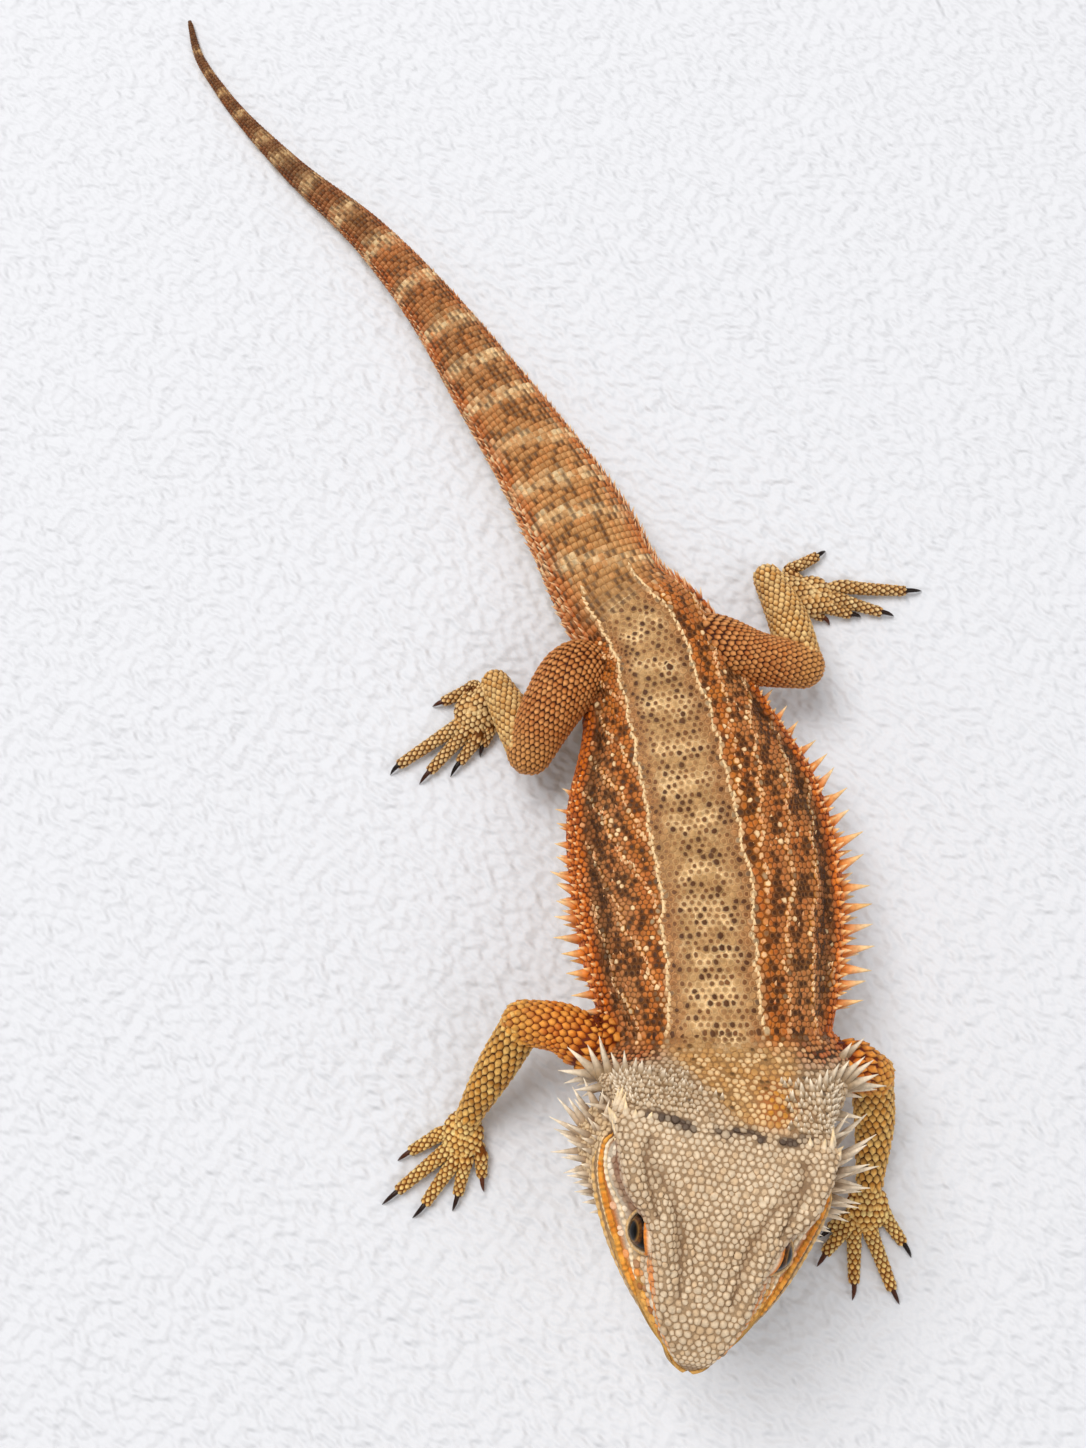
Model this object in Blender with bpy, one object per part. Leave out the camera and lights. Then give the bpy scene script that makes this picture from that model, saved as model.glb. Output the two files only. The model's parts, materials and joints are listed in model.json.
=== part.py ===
# A bearded dragon at life size, lying on the floor at z = 0 with its head toward -Y.
# Lengths below are millimetres in the animal's own frame. MM turns them into Blender's metres.

import bmesh
import bpy
import numpy as np
from mathutils import Vector

MM = 0.001
GAP = 0.3
HALF = np.pi / 2

# Moves the middle of the animal's bounding box to x = y = 0
CENTRE = np.array([-1.7, 38.9, 0.0])

# Trunk and tail stations: x, y, half width, top, bottom, how round the section is
STATIONS = np.array([
    [52.0, -101.0, 33.5, 57.0, 11.0, 0.2],
    [51.5, -83.0, 38.5, 54.0, 4.0, 0.1],
    [50.5, -56.0, 42.0, 47.0, -0.4, 0.0],
    [46.2, -27.0, 39.4, 43.0, -0.4, 0.0],
    [40.8, 0.0, 29.0, 39.0, -0.4, 0.1],
    [34.0, 24.0, 23.0, 35.0, -0.4, 0.3],
    [24.3, 38.0, 19.4, 31.0, -0.4, 0.6],
    [12.0, 64.0, 17.7, 27.0, -0.4, 0.8],
    [-3.0, 91.0, 15.0, 22.5, -0.35, 1.0],
    [-20.0, 118.0, 12.4, 18.5, -0.35, 1.0],
    [-38.0, 146.0, 9.4, 14.5, -0.3, 1.0],
    [-61.0, 175.0, 6.9, 11.0, -0.25, 1.0],
    [-91.0, 204.0, 4.3, 7.5, -0.2, 1.0],
    [-117.0, 235.0, 2.3, 4.4, -0.15, 1.0],
    [-126.4, 250.5, 1.8, 3.4, -0.12, 1.0],
    [-130.8, 266.0, 1.1, 2.2, -0.1, 1.0],
])
WIDEST_LEVEL = 0.42
PROBE_LENGTH = 0.5

# Half of the flattened trunk section, from the back round the flank to the belly
SECTION_TURN = np.array([0.0, 0.17, 0.32, 0.44, 0.52, 0.60, 0.72, 0.86, 1.0]) * np.pi
SECTION_OUT = np.array([0.0, 0.34, 0.68, 0.93, 1.0, 0.95, 0.78, 0.40, 0.0])
SECTION_UP = np.array([1.0, 0.985, 0.80, 0.42, 0.12, -0.35, -0.85, -1.0, -1.0])

# Trunk and tail nodes: name, first and last station, rings, sides
LENGTHS = [
    ("chest", 0, 2, 8, 26),
    ("belly", 2, 4, 9, 26),
    ("pelvis", 4, 6, 7, 26),
    ("tail_base", 6, 8, 9, 22),
    ("tail_middle", 8, 10, 9, 18),
    ("tail_end", 10, 12, 9, 14),
    ("tail_tip", 12, 15, 11, 10),
]

# Head: length from snout to nape, where its back plane stands, and its turn in degrees
HEAD_LENGTH = 66.0
HEAD_ROWS = 22
HEAD_COLUMNS = 25
JAW_ROWS = 18
JAW_COLUMNS = 17
HEAD_AT = np.array([48.5, -123.6, 58.0])
HEAD_YAW = -9.0
HEAD_PITCH = -4.0
HEAD_ROLL = 4.0

# The snout is rounded over this length. Its first ring stands just behind the tip
SNOUT_ROUNDING = 3.0
SNOUT_START = 0.15
ROW_GROWTH = 1.6

# Head outline by distance from the snout tip
LIP_AT = [0, 3, 6, 10, 16, 22, 27, 34, 41, 48, 56, 66]
LIP_WIDTH = [3.4, 5.7, 8.2, 11.8, 16.6, 21.0, 24.3, 28.0, 30.6, 32.0, 31.5, 29.0]
BROW_AT = [0, 6, 11, 16, 21, 27, 33, 38, 44, 50, 58, 66]
BROW_WIDTH = [2.4, 7, 9.8, 11.6, 12.8, 14.3, 16.0, 18.6, 23, 26, 27.5, 27]
CROWN_AT = [0, 2, 6, 12, 18, 26, 34, 43, 52, 60, 66]
CROWN_TOP = [2.6, 5.2, 8, 11, 13.5, 16.3, 19, 20.8, 21.3, 20.3, 18.5]
JAW_AT = [0, 2, 6, 12, 20, 30, 40, 50, 58, 66]
JAW_BOTTOM = [-2.2, -3.4, -5, -7, -9, -12, -16, -19.5, -21, -20.5]
MOUTH_AT = [0, 10, 20, 32, 44, 54, 66]
MOUTH_LEVEL = [0, 1, 0, -1.5, -1, 1, 1]

# Half a head ring, crown to throat: turn in half circles, shares of the brow's and the lip's width,
# millimetres added, shares of the levels of crown, mouth and jaw, millimetres added
HEAD_RING = np.array([
    [0.00, 0.00, 0.00, 0.0, 1.000, 0.000, 0.00, 0.0],
    [0.14, 0.55, 0.00, 0.0, 0.980, 0.020, 0.00, 0.0],
    [0.27, 1.00, 0.00, 0.0, 0.870, 0.130, 0.00, 0.0],
    [0.37, 0.45, 0.55, 0.0, 0.435, 0.565, 0.00, 0.0],
    [0.46, 0.00, 1.00, 0.0, 0.000, 1.000, 0.00, 1.8],
    [0.50, 0.00, 1.00, -0.5, 0.000, 1.000, 0.00, 0.0],
    [0.54, 0.00, 1.00, -0.3, 0.000, 1.000, 0.00, -1.8],
    [0.66, 0.00, 0.92, 0.0, 0.000, 0.450, 0.55, 0.0],
    [0.83, 0.00, 0.50, 0.0, 0.000, 0.030, 0.97, 0.0],
    [1.00, 0.00, 0.00, 0.0, 0.000, 0.000, 1.00, 0.0],
])
HEAD_RING_TURN = HEAD_RING[:, 0] * np.pi

# Swellings and hollows of the head: middle (x, from snout, z), radii, height, direction
HEAD_BUMPS = [
    ((14.2, 33, 17), (5, 9, 5), 2.0, (0.4, 0, 0.9)),
    ((9, 35, 18.5), (2.5, 12, 4), -1.1, (0, 0, 1)),
    ((23, 49, 14), (5, 10, 6), 2.2, (0.8, 0, 0.6)),
    ((24.5, 43, 7.5), (3, 6, 3.5), -2.0, (1, 0, 0.2)),
    ((6, 8, 7), (2.5, 3, 2.5), 0.7, (0.6, 0, 0.8)),
    ((19, 33, 9.5), (4.5, 6.5, 4), -1.8, (1, 0, 0)),
    ((30, 58, -11), (10, 13, 10), 8.0, (1, 0, -0.2)),
]

EYE_AT = (16.5, 34.0, 9.6)
EYE_RADIUS = 5.3
LID_OUT = 3.3
LID_LENGTH = 5.3
LID_HEIGHT = 4.2
LID_THICKNESS = 1.0
LID_TILT = -14.0
NOSTRIL_AT = (7.2, 7.4, 6.2)
NOSTRIL_RADIUS = 1.1
EAR_AT = (28.0, 60.0, 3.0)
EAR_RADII = (2.6, 2.2, 3.6)

# Neck: length, how far its curve leaves the head and the body, and the swelling of its sides
NECK_LENGTH = 26.0
NECK_REACH = 24.0
NECK_PROBE = 3.0
NECK_RINGS = 7
NECK_SIDES = 32
COLLAR_SWELL = 7.0
COLLAR_WAY = np.array([1.0, 0.1, 0.1])

# Limbs: root, middle, joint, middle, end, palm, and the radius along each of the two segments
LIMBS = {
    "fore_right": {
        "parts": ("upper_arm", "forearm", "hand"),
        "path": [(16.7, -104.2, 37), (5, -99.3, 36), (-5.7, -97.5, 31),
                 (-16.5, -114.7, 18), (-22.6, -124.9, 8.5), (-24.9, -131.4, 4.6)],
        "upper": (8.5, 7.4, 6.6),
        "lower": (6.3, 5.8, 3.9),
        "palm": (6.6, 7.6, 3.6),
        "digits": [(8.3, 42, 3, 7.5, 3.6), (7.7, 7, -13, 11.7, 4.2), (8.6, -18, -35, 16.8, 4.4),
                   (7.5, -46, -51, 20.3, 4.9), (7.0, -89, -61, 11.7, 3.8)],
    },
    "fore_left": {
        "parts": ("upper_arm", "forearm", "hand"),
        "path": [(84, -111.0, 37), (90.2, -110.0, 36), (97.3, -112.5, 31),
                 (100.3, -127.1, 18), (100.2, -144.8, 8.5), (100.1, -152.8, 4.6)],
        "upper": (8.5, 7.4, 6.6),
        "lower": (6.3, 5.8, 3.9),
        "palm": (6.6, 7.6, 3.6),
        "digits": [(5.7, -60, -58, 8.4, 3.0), (9.7, -46, -40, 10.4, 3.7), (8.2, -31, -2, 16.7, 4.1),
                   (7.6, 5, 20, 19.4, 3.6), (4.3, 71, 35, 12.7, 4.1)],
    },
    "hind_right": {
        "parts": ("thigh", "shank", "foot"),
        "path": [(10.8, 11.8, 24), (3.2, 0.8, 25), (-4.1, -13.5, 21),
                 (-9.4, -1.2, 15), (-15.5, 11.8, 7.5), (-22.8, 3.1, 4.6)],
        "upper": (11.5, 9.6, 7.2),
        "lower": (6.6, 6.2, 4.3),
        "palm": (6.8, 7.2, 3.6),
        "digits": [(7.8, 42, -24, 6.1, 2.7), (8.6, 9, -37, 10.8, 4.3), (7.0, -23, -42, 18.5, 4.0),
                   (5.0, -49, -56, 26.5, 2.5), (8.7, 179, -66, 12.4, 2.6)],
    },
    "hind_left": {
        "parts": ("thigh", "shank", "foot"),
        "path": [(53, 22.5, 24), (67, 16.4, 25), (83.0, 14.6, 21),
                 (80.2, 31.6, 15), (75.2, 48.2, 7.5), (90.4, 43, 4.6)],
        "upper": (9.5, 8.6, 7.2),
        "lower": (6.6, 6.2, 4.3),
        "palm": (6.8, 7.2, 3.6),
        "digits": [(4.8, -3, 63, 5.0, 2.3), (6.5, 55, 76, 8.7, 2.9), (8.4, 84, 75, 16.7, 3.3),
                   (10.1, 109, 88, 23.7, 4.4), (11.6, -142, 120, 12.2, 2.8)],
    },
}
LIMB_SIDES = 12
CAP_SHARES = np.array([0.4, 0.75])
CUT_CLEARANCE = 0.34
ROOT_DEPTH = 9.0
WRIST_RADII = (3.6, 3.9, 3.6)
WRIST_SIDES = 8
PALM_RINGS = 6

# A digit: how far along its rings stand, as shares of its length and then of its claw's,
# and the radius and height of each ring, the first of which stands inside the palm
DIGIT_SIDES = 6
DIGIT_INWARD = 0.65
DIGIT_REACH = np.array([0.0, 0.35, 0.7, 0.96])
CLAW_REACH = np.array([0.02, 0.5, 1.0])
DIGIT_RADIUS = (2.5, 2.6, 2.4, 2.2, 1.7, 1.1, 0.8, 0.15)
DIGIT_LEVEL = (4.2, 3.8, 3.0, 2.1, 1.5, 1.9, 1.6, 0.45)

# Spines: sides, sunk depth, blunt tip, share by which lengths vary, and least distance from a limb
SPINE_SIDES = 4
SPINE_SUNK = 1.3
SPINE_TIP = 0.16
SPINE_VARIATION = 0.14
SPINE_CLEARANCE = 1.2
PROBE_TURN = 0.02
PROBE_ROW = 0.013

# Fringe of the flanks: where it runs in y on each side, spacing, lengths behind and in front.
# Its rows: turn in half circles, size, and offset as a share of the spacing. Each lean below
# is how far a spine points outward, toward the tail and up
FRINGE_SPANS = {-1: (-92.0, -16.0), 1: (-93.0, 8.0)}
FRINGE_SPACING = 4.9
FRINGE_ROWS = ((0.525, 1.0, 0.0), (0.47, 0.62, 0.5))
FRINGE_SHORT = 3.4
FRINGE_LONG = 6.6
FRINGE_RADIUS = 1.05
FRINGE_LEAN = (1.0, 0.22, 0.1)

# Beard: rows as turn in half circles, first and last distance from the snout, spines, length
BEARD_ROWS = ((0.56, 43, 64, 7, 6.5), (0.64, 39, 64, 8, 9.0),
              (0.72, 42, 63, 6, 7.0), (0.81, 45, 62, 4, 4.5))
BEARD_RADIUS = 1.15
BEARD_LEAN = (0.9, 0.3, 0.0)

# Corners of the jaw and skull: turn in half circles, distance from the snout, length
CORNER_SPINES = ((0.22, 62.5, 3.2), (0.30, 62.0, 4.6), (0.37, 61.0, 5.2),
                 (0.44, 60.0, 5.8), (0.40, 55.0, 3.8))
CORNER_RADIUS = 1.0
CORNER_LEAN = (0.6, 0.8, 0.1)

# Collar over the nape: turn in half circles, share of the neck, length
COLLAR_SPINES = ((0.04, 0.24, 2.2), (0.11, 0.27, 2.4), (0.18, 0.32, 2.8), (0.25, 0.37, 3.4),
                 (0.32, 0.41, 4.6), (0.39, 0.44, 6.6), (0.46, 0.42, 8.4), (0.53, 0.40, 8.0),
                 (0.60, 0.36, 6.5), (0.42, 0.66, 5.0), (0.50, 0.64, 6.0), (0.58, 0.60, 5.0))
COLLAR_LEAN = (0.75, 0.7, 0.0)

# Side rows of the tail base
TAIL_SPINES = 10
TAIL_SPINE_LENGTH = 3.0
TAIL_SPINE_RADIUS = 0.85
TAIL_LEAN = (0.8, 0.7, 0.0)

# The cutter below the floor
FLOOR_HALF = 400.0
FLOOR_DEPTH = 60.0

# Colour, roughness and metallic value of each node
SCALES_HEAD = (0.52, 0.44, 0.32)
SCALES_BACK = (0.55, 0.30, 0.13)
SCALES_TAIL = (0.60, 0.40, 0.22)
SCALES_LIMB = (0.62, 0.36, 0.12)
EYE_BLACK = (0.02, 0.015, 0.01)


def hermite(knots, values, at):
    # Smooth curve through the values at the knots, one cubic between each pair
    knots = np.asarray(knots, float)
    values = np.asarray(values, float)
    at = np.asarray(at, float)
    slopes = np.gradient(values, knots, axis=0)
    piece = np.clip(np.searchsorted(knots, at) - 1, 0, len(knots) - 2)
    width = knots[piece + 1] - knots[piece]
    t = (at - knots[piece]) / width
    if values.ndim > 1:
        t = t[..., None]
        width = width[..., None]
    start = (2 * t**3 - 3 * t**2 + 1) * values[piece] + (t**3 - 2 * t**2 + t) * width * slopes[piece]
    end = (3 * t**2 - 2 * t**3) * values[piece + 1] + (t**3 - t**2) * width * slopes[piece + 1]
    return start + end


def lengths_along(points):
    return np.concatenate([[0.0], np.cumsum(np.linalg.norm(np.diff(points, axis=0), axis=1))])


STATION_AT = lengths_along(STATIONS[:, :2])


def body_points(along, turn):
    # Points of the trunk and tail at a length along the axis and a turn from the back
    along = np.asarray(along, float)
    row = hermite(STATION_AT, STATIONS, along)
    ahead = hermite(STATION_AT, STATIONS[:, :2], along + PROBE_LENGTH)
    behind = hermite(STATION_AT, STATIONS[:, :2], along - PROBE_LENGTH)
    heading = (ahead - behind) / np.linalg.norm(ahead - behind, axis=-1, keepdims=True)
    wrapped = np.mod(turn, 2 * np.pi)
    side = np.where(wrapped > np.pi, -1.0, 1.0)
    folded = np.where(wrapped > np.pi, 2 * np.pi - wrapped, wrapped)
    roundness = row[..., 5]
    out = (1 - roundness) * hermite(SECTION_TURN, SECTION_OUT, folded) + roundness * np.sin(folded)
    up = (1 - roundness) * hermite(SECTION_TURN, SECTION_UP, folded) + roundness * np.cos(folded)
    top = row[..., 3]
    bottom = row[..., 4]
    level = bottom + (WIDEST_LEVEL + (0.5 - WIDEST_LEVEL) * roundness) * (top - bottom)
    height = np.where(up > 0, level + up * (top - level), level + up * (level - bottom))
    reach = side * out * row[..., 2]
    x = row[..., 0] + heading[..., 1] * reach
    y = row[..., 1] - heading[..., 0] * reach
    return np.stack([x, y, height], -1)


def turned(yaw, pitch, roll):
    a, b, c = np.radians([yaw, pitch, roll])
    about_z = np.array([[np.cos(a), -np.sin(a), 0], [np.sin(a), np.cos(a), 0], [0, 0, 1]])
    about_x = np.array([[1, 0, 0], [0, np.cos(b), -np.sin(b)], [0, np.sin(b), np.cos(b)]])
    about_y = np.array([[np.cos(c), 0, np.sin(c)], [0, 1, 0], [-np.sin(c), 0, np.cos(c)]])
    return about_z @ about_x @ about_y


HEAD_TURN = turned(HEAD_YAW, HEAD_PITCH, HEAD_ROLL)


def head_to_world(local):
    # From (x, distance from the snout tip, z) to the animal's frame
    local = np.asarray(local, float)
    moved = local - np.array([0.0, HEAD_LENGTH, 0.0])
    return moved @ HEAD_TURN.T + HEAD_AT


def head_local(from_snout, turn):
    # Head ring through the places of HEAD_RING, drawn in as a quarter circle at the snout tip
    lip = hermite(LIP_AT, LIP_WIDTH, from_snout)
    brow = hermite(BROW_AT, BROW_WIDTH, from_snout)
    top = hermite(CROWN_AT, CROWN_TOP, from_snout)
    bottom = hermite(JAW_AT, JAW_BOTTOM, from_snout)
    mouth = hermite(MOUTH_AT, MOUTH_LEVEL, from_snout)
    levels = [top, mouth, bottom]
    out = brow[..., None] * HEAD_RING[:, 1] + lip[..., None] * HEAD_RING[:, 2] + HEAD_RING[:, 3]
    up = sum(levels[i][..., None] * HEAD_RING[:, 4 + i] for i in range(3)) + HEAD_RING[:, 7]
    wrapped = np.mod(turn, 2 * np.pi)
    side = np.where(wrapped > np.pi, -1.0, 1.0)
    folded = np.where(wrapped > np.pi, 2 * np.pi - wrapped, wrapped)
    weights = hermite(HEAD_RING_TURN, np.eye(len(HEAD_RING_TURN)), folded)
    near_tip = 1 - np.clip(from_snout / SNOUT_ROUNDING, 0, 1)
    closing = np.sqrt(np.clip(1 - near_tip**2, 0.0001, 1))
    across = closing * (out * weights).sum(-1)
    height = mouth + closing * ((up * weights).sum(-1) - mouth)
    points = np.stack([across, from_snout + 0 * across, height], -1)
    for middle, radii, swell, direction in HEAD_BUMPS:
        away = (points - middle) / radii
        points = points + (swell * np.exp(-(away**2).sum(-1)))[..., None] * np.asarray(direction)
    points[..., 0] *= side
    return points


def neck_points(share, turn):
    # Bends from the head's back plane (share 0) to the first body station (share 1)
    start = head_to_world(head_local(np.float64(HEAD_LENGTH), turn))
    before = head_to_world(head_local(np.float64(HEAD_LENGTH - NECK_PROBE), turn))
    finish = body_points(0.0, turn)
    after = body_points(NECK_PROBE, turn)
    reach = NECK_REACH / NECK_PROBE
    t = np.asarray(share, float)[..., None]
    points = ((2 * t**3 - 3 * t**2 + 1) * start + (t**3 - 2 * t**2 + t) * reach * (start - before)
              + (3 * t**2 - 2 * t**3) * finish + (t**3 - t**2) * reach * (after - finish))
    side = np.sin(turn)
    collar = COLLAR_SWELL * 4 * t[..., 0] * (1 - t[..., 0]) * np.sign(side) * side**4
    return points + collar[..., None] * COLLAR_WAY


def grid(surface, rows, turns):
    # Rows of points over a surface given by a function of row and turn
    return surface(np.asarray(rows, float)[:, None], np.asarray(turns, float)[None, :])


def around(sides):
    return np.arange(sides) * 2 * np.pi / sides


def mesh_object(name, points, faces):
    mesh = bpy.data.meshes.new(name)
    mesh.from_pydata([tuple(p) for p in (points - CENTRE) * MM], [], faces)
    made = bpy.data.objects.new(name, mesh)
    collection.objects.link(made)
    shell = bmesh.new()
    shell.from_mesh(mesh)
    bmesh.ops.triangulate(shell, faces=shell.faces)
    bmesh.ops.recalc_face_normals(shell, faces=shell.faces)
    if shell.calc_volume(signed=True) < 0:
        bmesh.ops.reverse_faces(shell, faces=shell.faces)
    for face in shell.faces:
        face.smooth = True
    shell.to_mesh(mesh)
    shell.free()
    return made


def loft(name, rings):
    # Closed skin over rings of equal count, each end closed by a fan about its middle
    rings = np.asarray(rings)
    count, sides = rings.shape[:2]
    points = np.concatenate([rings.reshape(-1, 3), rings[0].mean(0)[None], rings[-1].mean(0)[None]])
    faces = []
    for i in range(count - 1):
        for j in range(sides):
            k = (j + 1) % sides
            faces.append((i * sides + j, i * sides + k, (i + 1) * sides + k, (i + 1) * sides + j))
    for j in range(sides):
        k = (j + 1) % sides
        faces.append((count * sides, k, j))
        faces.append((count * sides + 1, (count - 1) * sides + j, (count - 1) * sides + k))
    return mesh_object(name, points, faces)


def tube(name, path, radii, sides, rings=7, cap_rings=2):
    # Round-ended tube through the points of a path, its radius and height following a smooth curve
    path = np.asarray(path, float)
    at = lengths_along(path)
    radius_at = np.linspace(0, at[-1], len(radii))
    where = np.linspace(0, at[-1], rings)
    middle = hermite(at, path, where)
    heading = np.gradient(middle, where, axis=0)
    heading /= np.linalg.norm(heading, axis=1, keepdims=True)
    radius = hermite(radius_at, np.asarray(radii, float), where)
    start = radius[0]
    end = radius[-1]
    caps = CAP_SHARES[-cap_rings:]
    after = middle[-1] + heading[-1] * (np.sin(caps * HALF) * end)[:, None]
    before = middle[0] - heading[0] * (np.sin(caps[::-1] * HALF) * start)[:, None]
    middle = np.concatenate([before, middle, after])
    heading = np.concatenate([heading[:1]] * cap_rings + [heading] + [heading[-1:]] * cap_rings)
    radius = np.concatenate([start * np.cos(caps[::-1] * HALF), radius, end * np.cos(caps * HALF)])
    side = np.cross(heading, [0, 0, 1.0])
    side /= np.linalg.norm(side, axis=1, keepdims=True)
    upward = np.cross(side, heading)
    turn = around(sides)
    ring = np.sin(turn)[None, :, None] * side[:, None] + np.cos(turn)[None, :, None] * upward[:, None]
    return loft(name, middle[:, None] + radius[:, None, None] * ring)


def ball(name, at, radii, segments=12, rings=8):
    shell = bmesh.new()
    bmesh.ops.create_uvsphere(shell, u_segments=segments, v_segments=rings, radius=1.0)
    points = np.array([v.co for v in shell.verts]) * radii + at
    faces = [tuple(v.index for v in f.verts) for f in shell.faces]
    shell.free()
    return mesh_object(name, points, faces)


def applied(made):
    # Keeps the shape that the modifiers give, and of that only the largest closed surface
    graph = bpy.context.evaluated_depsgraph_get()
    graph.update()
    mesh = bpy.data.meshes.new_from_object(made.evaluated_get(graph))
    made.modifiers.clear()
    made.data = mesh
    shell = bmesh.new()
    shell.from_mesh(mesh)
    bmesh.ops.triangulate(shell, faces=shell.faces)
    left = set(shell.faces)
    surfaces = []
    while left:
        reached = {left.pop()}
        edge_of = list(reached)
        while edge_of:
            face = edge_of.pop()
            for edge in face.edges:
                for other in edge.link_faces:
                    if other in left:
                        left.remove(other)
                        reached.add(other)
                        edge_of.append(other)
        surfaces.append(reached)
    keep = max(surfaces, key=lambda found: abs(sum(signed_volume(f) for f in found)))
    for found in surfaces:
        if found is not keep:
            bmesh.ops.delete(shell, geom=list(found), context="FACES")
    for face in shell.faces:
        face.smooth = True
    shell.to_mesh(mesh)
    shell.free()
    return made


def signed_volume(face):
    a, b, c = (v.co for v in face.verts)
    return a.dot(b.cross(c)) / 6


def removed(objects):
    for made in objects:
        bpy.data.objects.remove(made)


def joined(node, pieces):
    # One Boolean union of the node with all its pieces
    if not pieces:
        return node
    group = bpy.data.collections.new("pieces")
    bpy.context.scene.collection.children.link(group)
    for piece in pieces:
        collection.objects.unlink(piece)
        group.objects.link(piece)
    union = node.modifiers.new("union", "BOOLEAN")
    union.operation = "UNION"
    union.operand_type = "COLLECTION"
    union.solver = "MANIFOLD"
    union.collection = group
    applied(node)
    removed(pieces)
    bpy.data.collections.remove(group)
    return node


def cut(node, cutters):
    for cutter in cutters:
        minus = node.modifiers.new("minus", "BOOLEAN")
        minus.operation = "DIFFERENCE"
        minus.solver = "MANIFOLD"
        minus.object = cutter
        applied(node)
    return node


def grown(node, by=CUT_CLEARANCE):
    # A cutter: a copy of the node with every point moved out along its normal
    made = node.copy()
    made.data = node.data.copy()
    collection.objects.link(made)
    for vertex, normal in [(v, v.normal.copy()) for v in made.data.vertices]:
        vertex.co += normal * by * MM
    return made


def coloured(node, colour, roughness=0.75):
    material = bpy.data.materials.new(node.name + "_colour")
    material.use_nodes = True
    shader = material.node_tree.nodes["Principled BSDF"]
    shader.inputs["Base Color"].default_value = (*colour, 1.0)
    shader.inputs["Roughness"].default_value = roughness
    shader.inputs["Metallic"].default_value = 0.0
    node.data.materials.clear()
    node.data.materials.append(material)
    return node


def make_trunk_and_tail(floor):
    made = {}
    for name, first, last, rings, sides in LENGTHS:
        start = STATION_AT[first] + (GAP / 2 if first else 0)
        end = STATION_AT[last] - (GAP / 2 if last < len(STATIONS) - 1 else 0)
        node = loft(name, grid(body_points, np.linspace(start, end, rings), around(sides)))
        made[name] = cut(node, [floor])
    return made


def head_rings(first_turn, last_turn, rows, columns, shift):
    # Part rings of the head between two turns. Each closes on itself across the mouth
    at = HEAD_LENGTH * np.linspace(0.0, 1.0, rows) ** ROW_GROWTH
    at[0] = SNOUT_START
    local = grid(head_local, at, np.linspace(first_turn, last_turn, columns))
    local[..., 2] += shift
    return head_to_world(local)


def make_head():
    head = loft("head", head_rings(-HALF, HALF, HEAD_ROWS, HEAD_COLUMNS, GAP / 2))
    lids = []
    for side in (-1, 1):
        bpy.ops.mesh.primitive_torus_add(major_segments=12, minor_segments=5, major_radius=1.0,
                                         minor_radius=LID_THICKNESS / LID_LENGTH)
        ring = bpy.context.object
        points = np.array([v.co for v in ring.data.vertices])
        faces = [tuple(f.vertices) for f in ring.data.polygons]
        bpy.data.objects.remove(ring)
        placed = points[:, [2, 0, 1]] * [LID_LENGTH, LID_LENGTH, LID_HEIGHT]
        placed = placed @ turned(0, 0, LID_TILT).T + np.array(EYE_AT) + [LID_OUT, 0, 0]
        placed[:, 0] *= side
        lids.append(mesh_object("lid", head_to_world(placed), faces))
    joined(head, lids)
    cutters = []
    eyes = []
    for side, name in ((-1, "eye_right"), (1, "eye_left")):
        eye_at = head_to_world(np.array(EYE_AT) * [side, 1, 1])
        eyes.append(ball(name, eye_at, [EYE_RADIUS] * 3, 12, 7))
        cutters.append(ball("socket", eye_at, [EYE_RADIUS + GAP] * 3, 14, 9))
        nostril = head_to_world(np.array(NOSTRIL_AT) * [side, 1, 1])
        cutters.append(ball("nostril_pit", nostril, [NOSTRIL_RADIUS] * 3, 8, 5))
        ear = head_to_world(np.array(EAR_AT) * [side, 1, 1])
        cutters.append(ball("ear_pit", ear, EAR_RADII, 10, 7))
    cut(head, cutters)
    removed(cutters)
    jaw = loft("lower_jaw", head_rings(HALF, 3 * HALF, JAW_ROWS, JAW_COLUMNS, -GAP / 2))
    return {"head": head, "lower_jaw": jaw, "eye_right": eyes[0], "eye_left": eyes[1]}


def make_neck():
    share = np.linspace(GAP / NECK_LENGTH, 1 - GAP / NECK_LENGTH, NECK_RINGS)
    return {"neck": loft("neck", grid(neck_points, share, around(NECK_SIDES)))}


def digit(palm, spec):
    # One finger or toe that narrows into its claw, from inside the palm outward
    base_out, base_angle, angle, length, claw = spec
    base = np.radians(base_angle)
    way = np.radians(angle)
    forward = np.array([np.sin(way), -np.cos(way)])
    root = palm[:2] + base_out * np.array([np.sin(base), -np.cos(base)])
    inner = palm[:2] * DIGIT_INWARD + root * (1 - DIGIT_INWARD)
    reach = np.concatenate([DIGIT_REACH * length, length + CLAW_REACH * claw])
    path = np.column_stack([np.concatenate([inner[None], root + reach[:, None] * forward]), DIGIT_LEVEL])
    heading = np.gradient(path, axis=0)
    heading /= np.linalg.norm(heading, axis=1, keepdims=True)
    side = np.cross(heading, [0, 0, 1.0])
    side /= np.linalg.norm(side, axis=1, keepdims=True)
    upward = np.cross(side, heading)
    turn = around(DIGIT_SIDES)[None, :, None]
    ring = np.sin(turn) * side[:, None] + np.cos(turn) * upward[:, None]
    return loft("digit", path[:, None] + np.array(DIGIT_RADIUS)[:, None, None] * ring)


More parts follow.
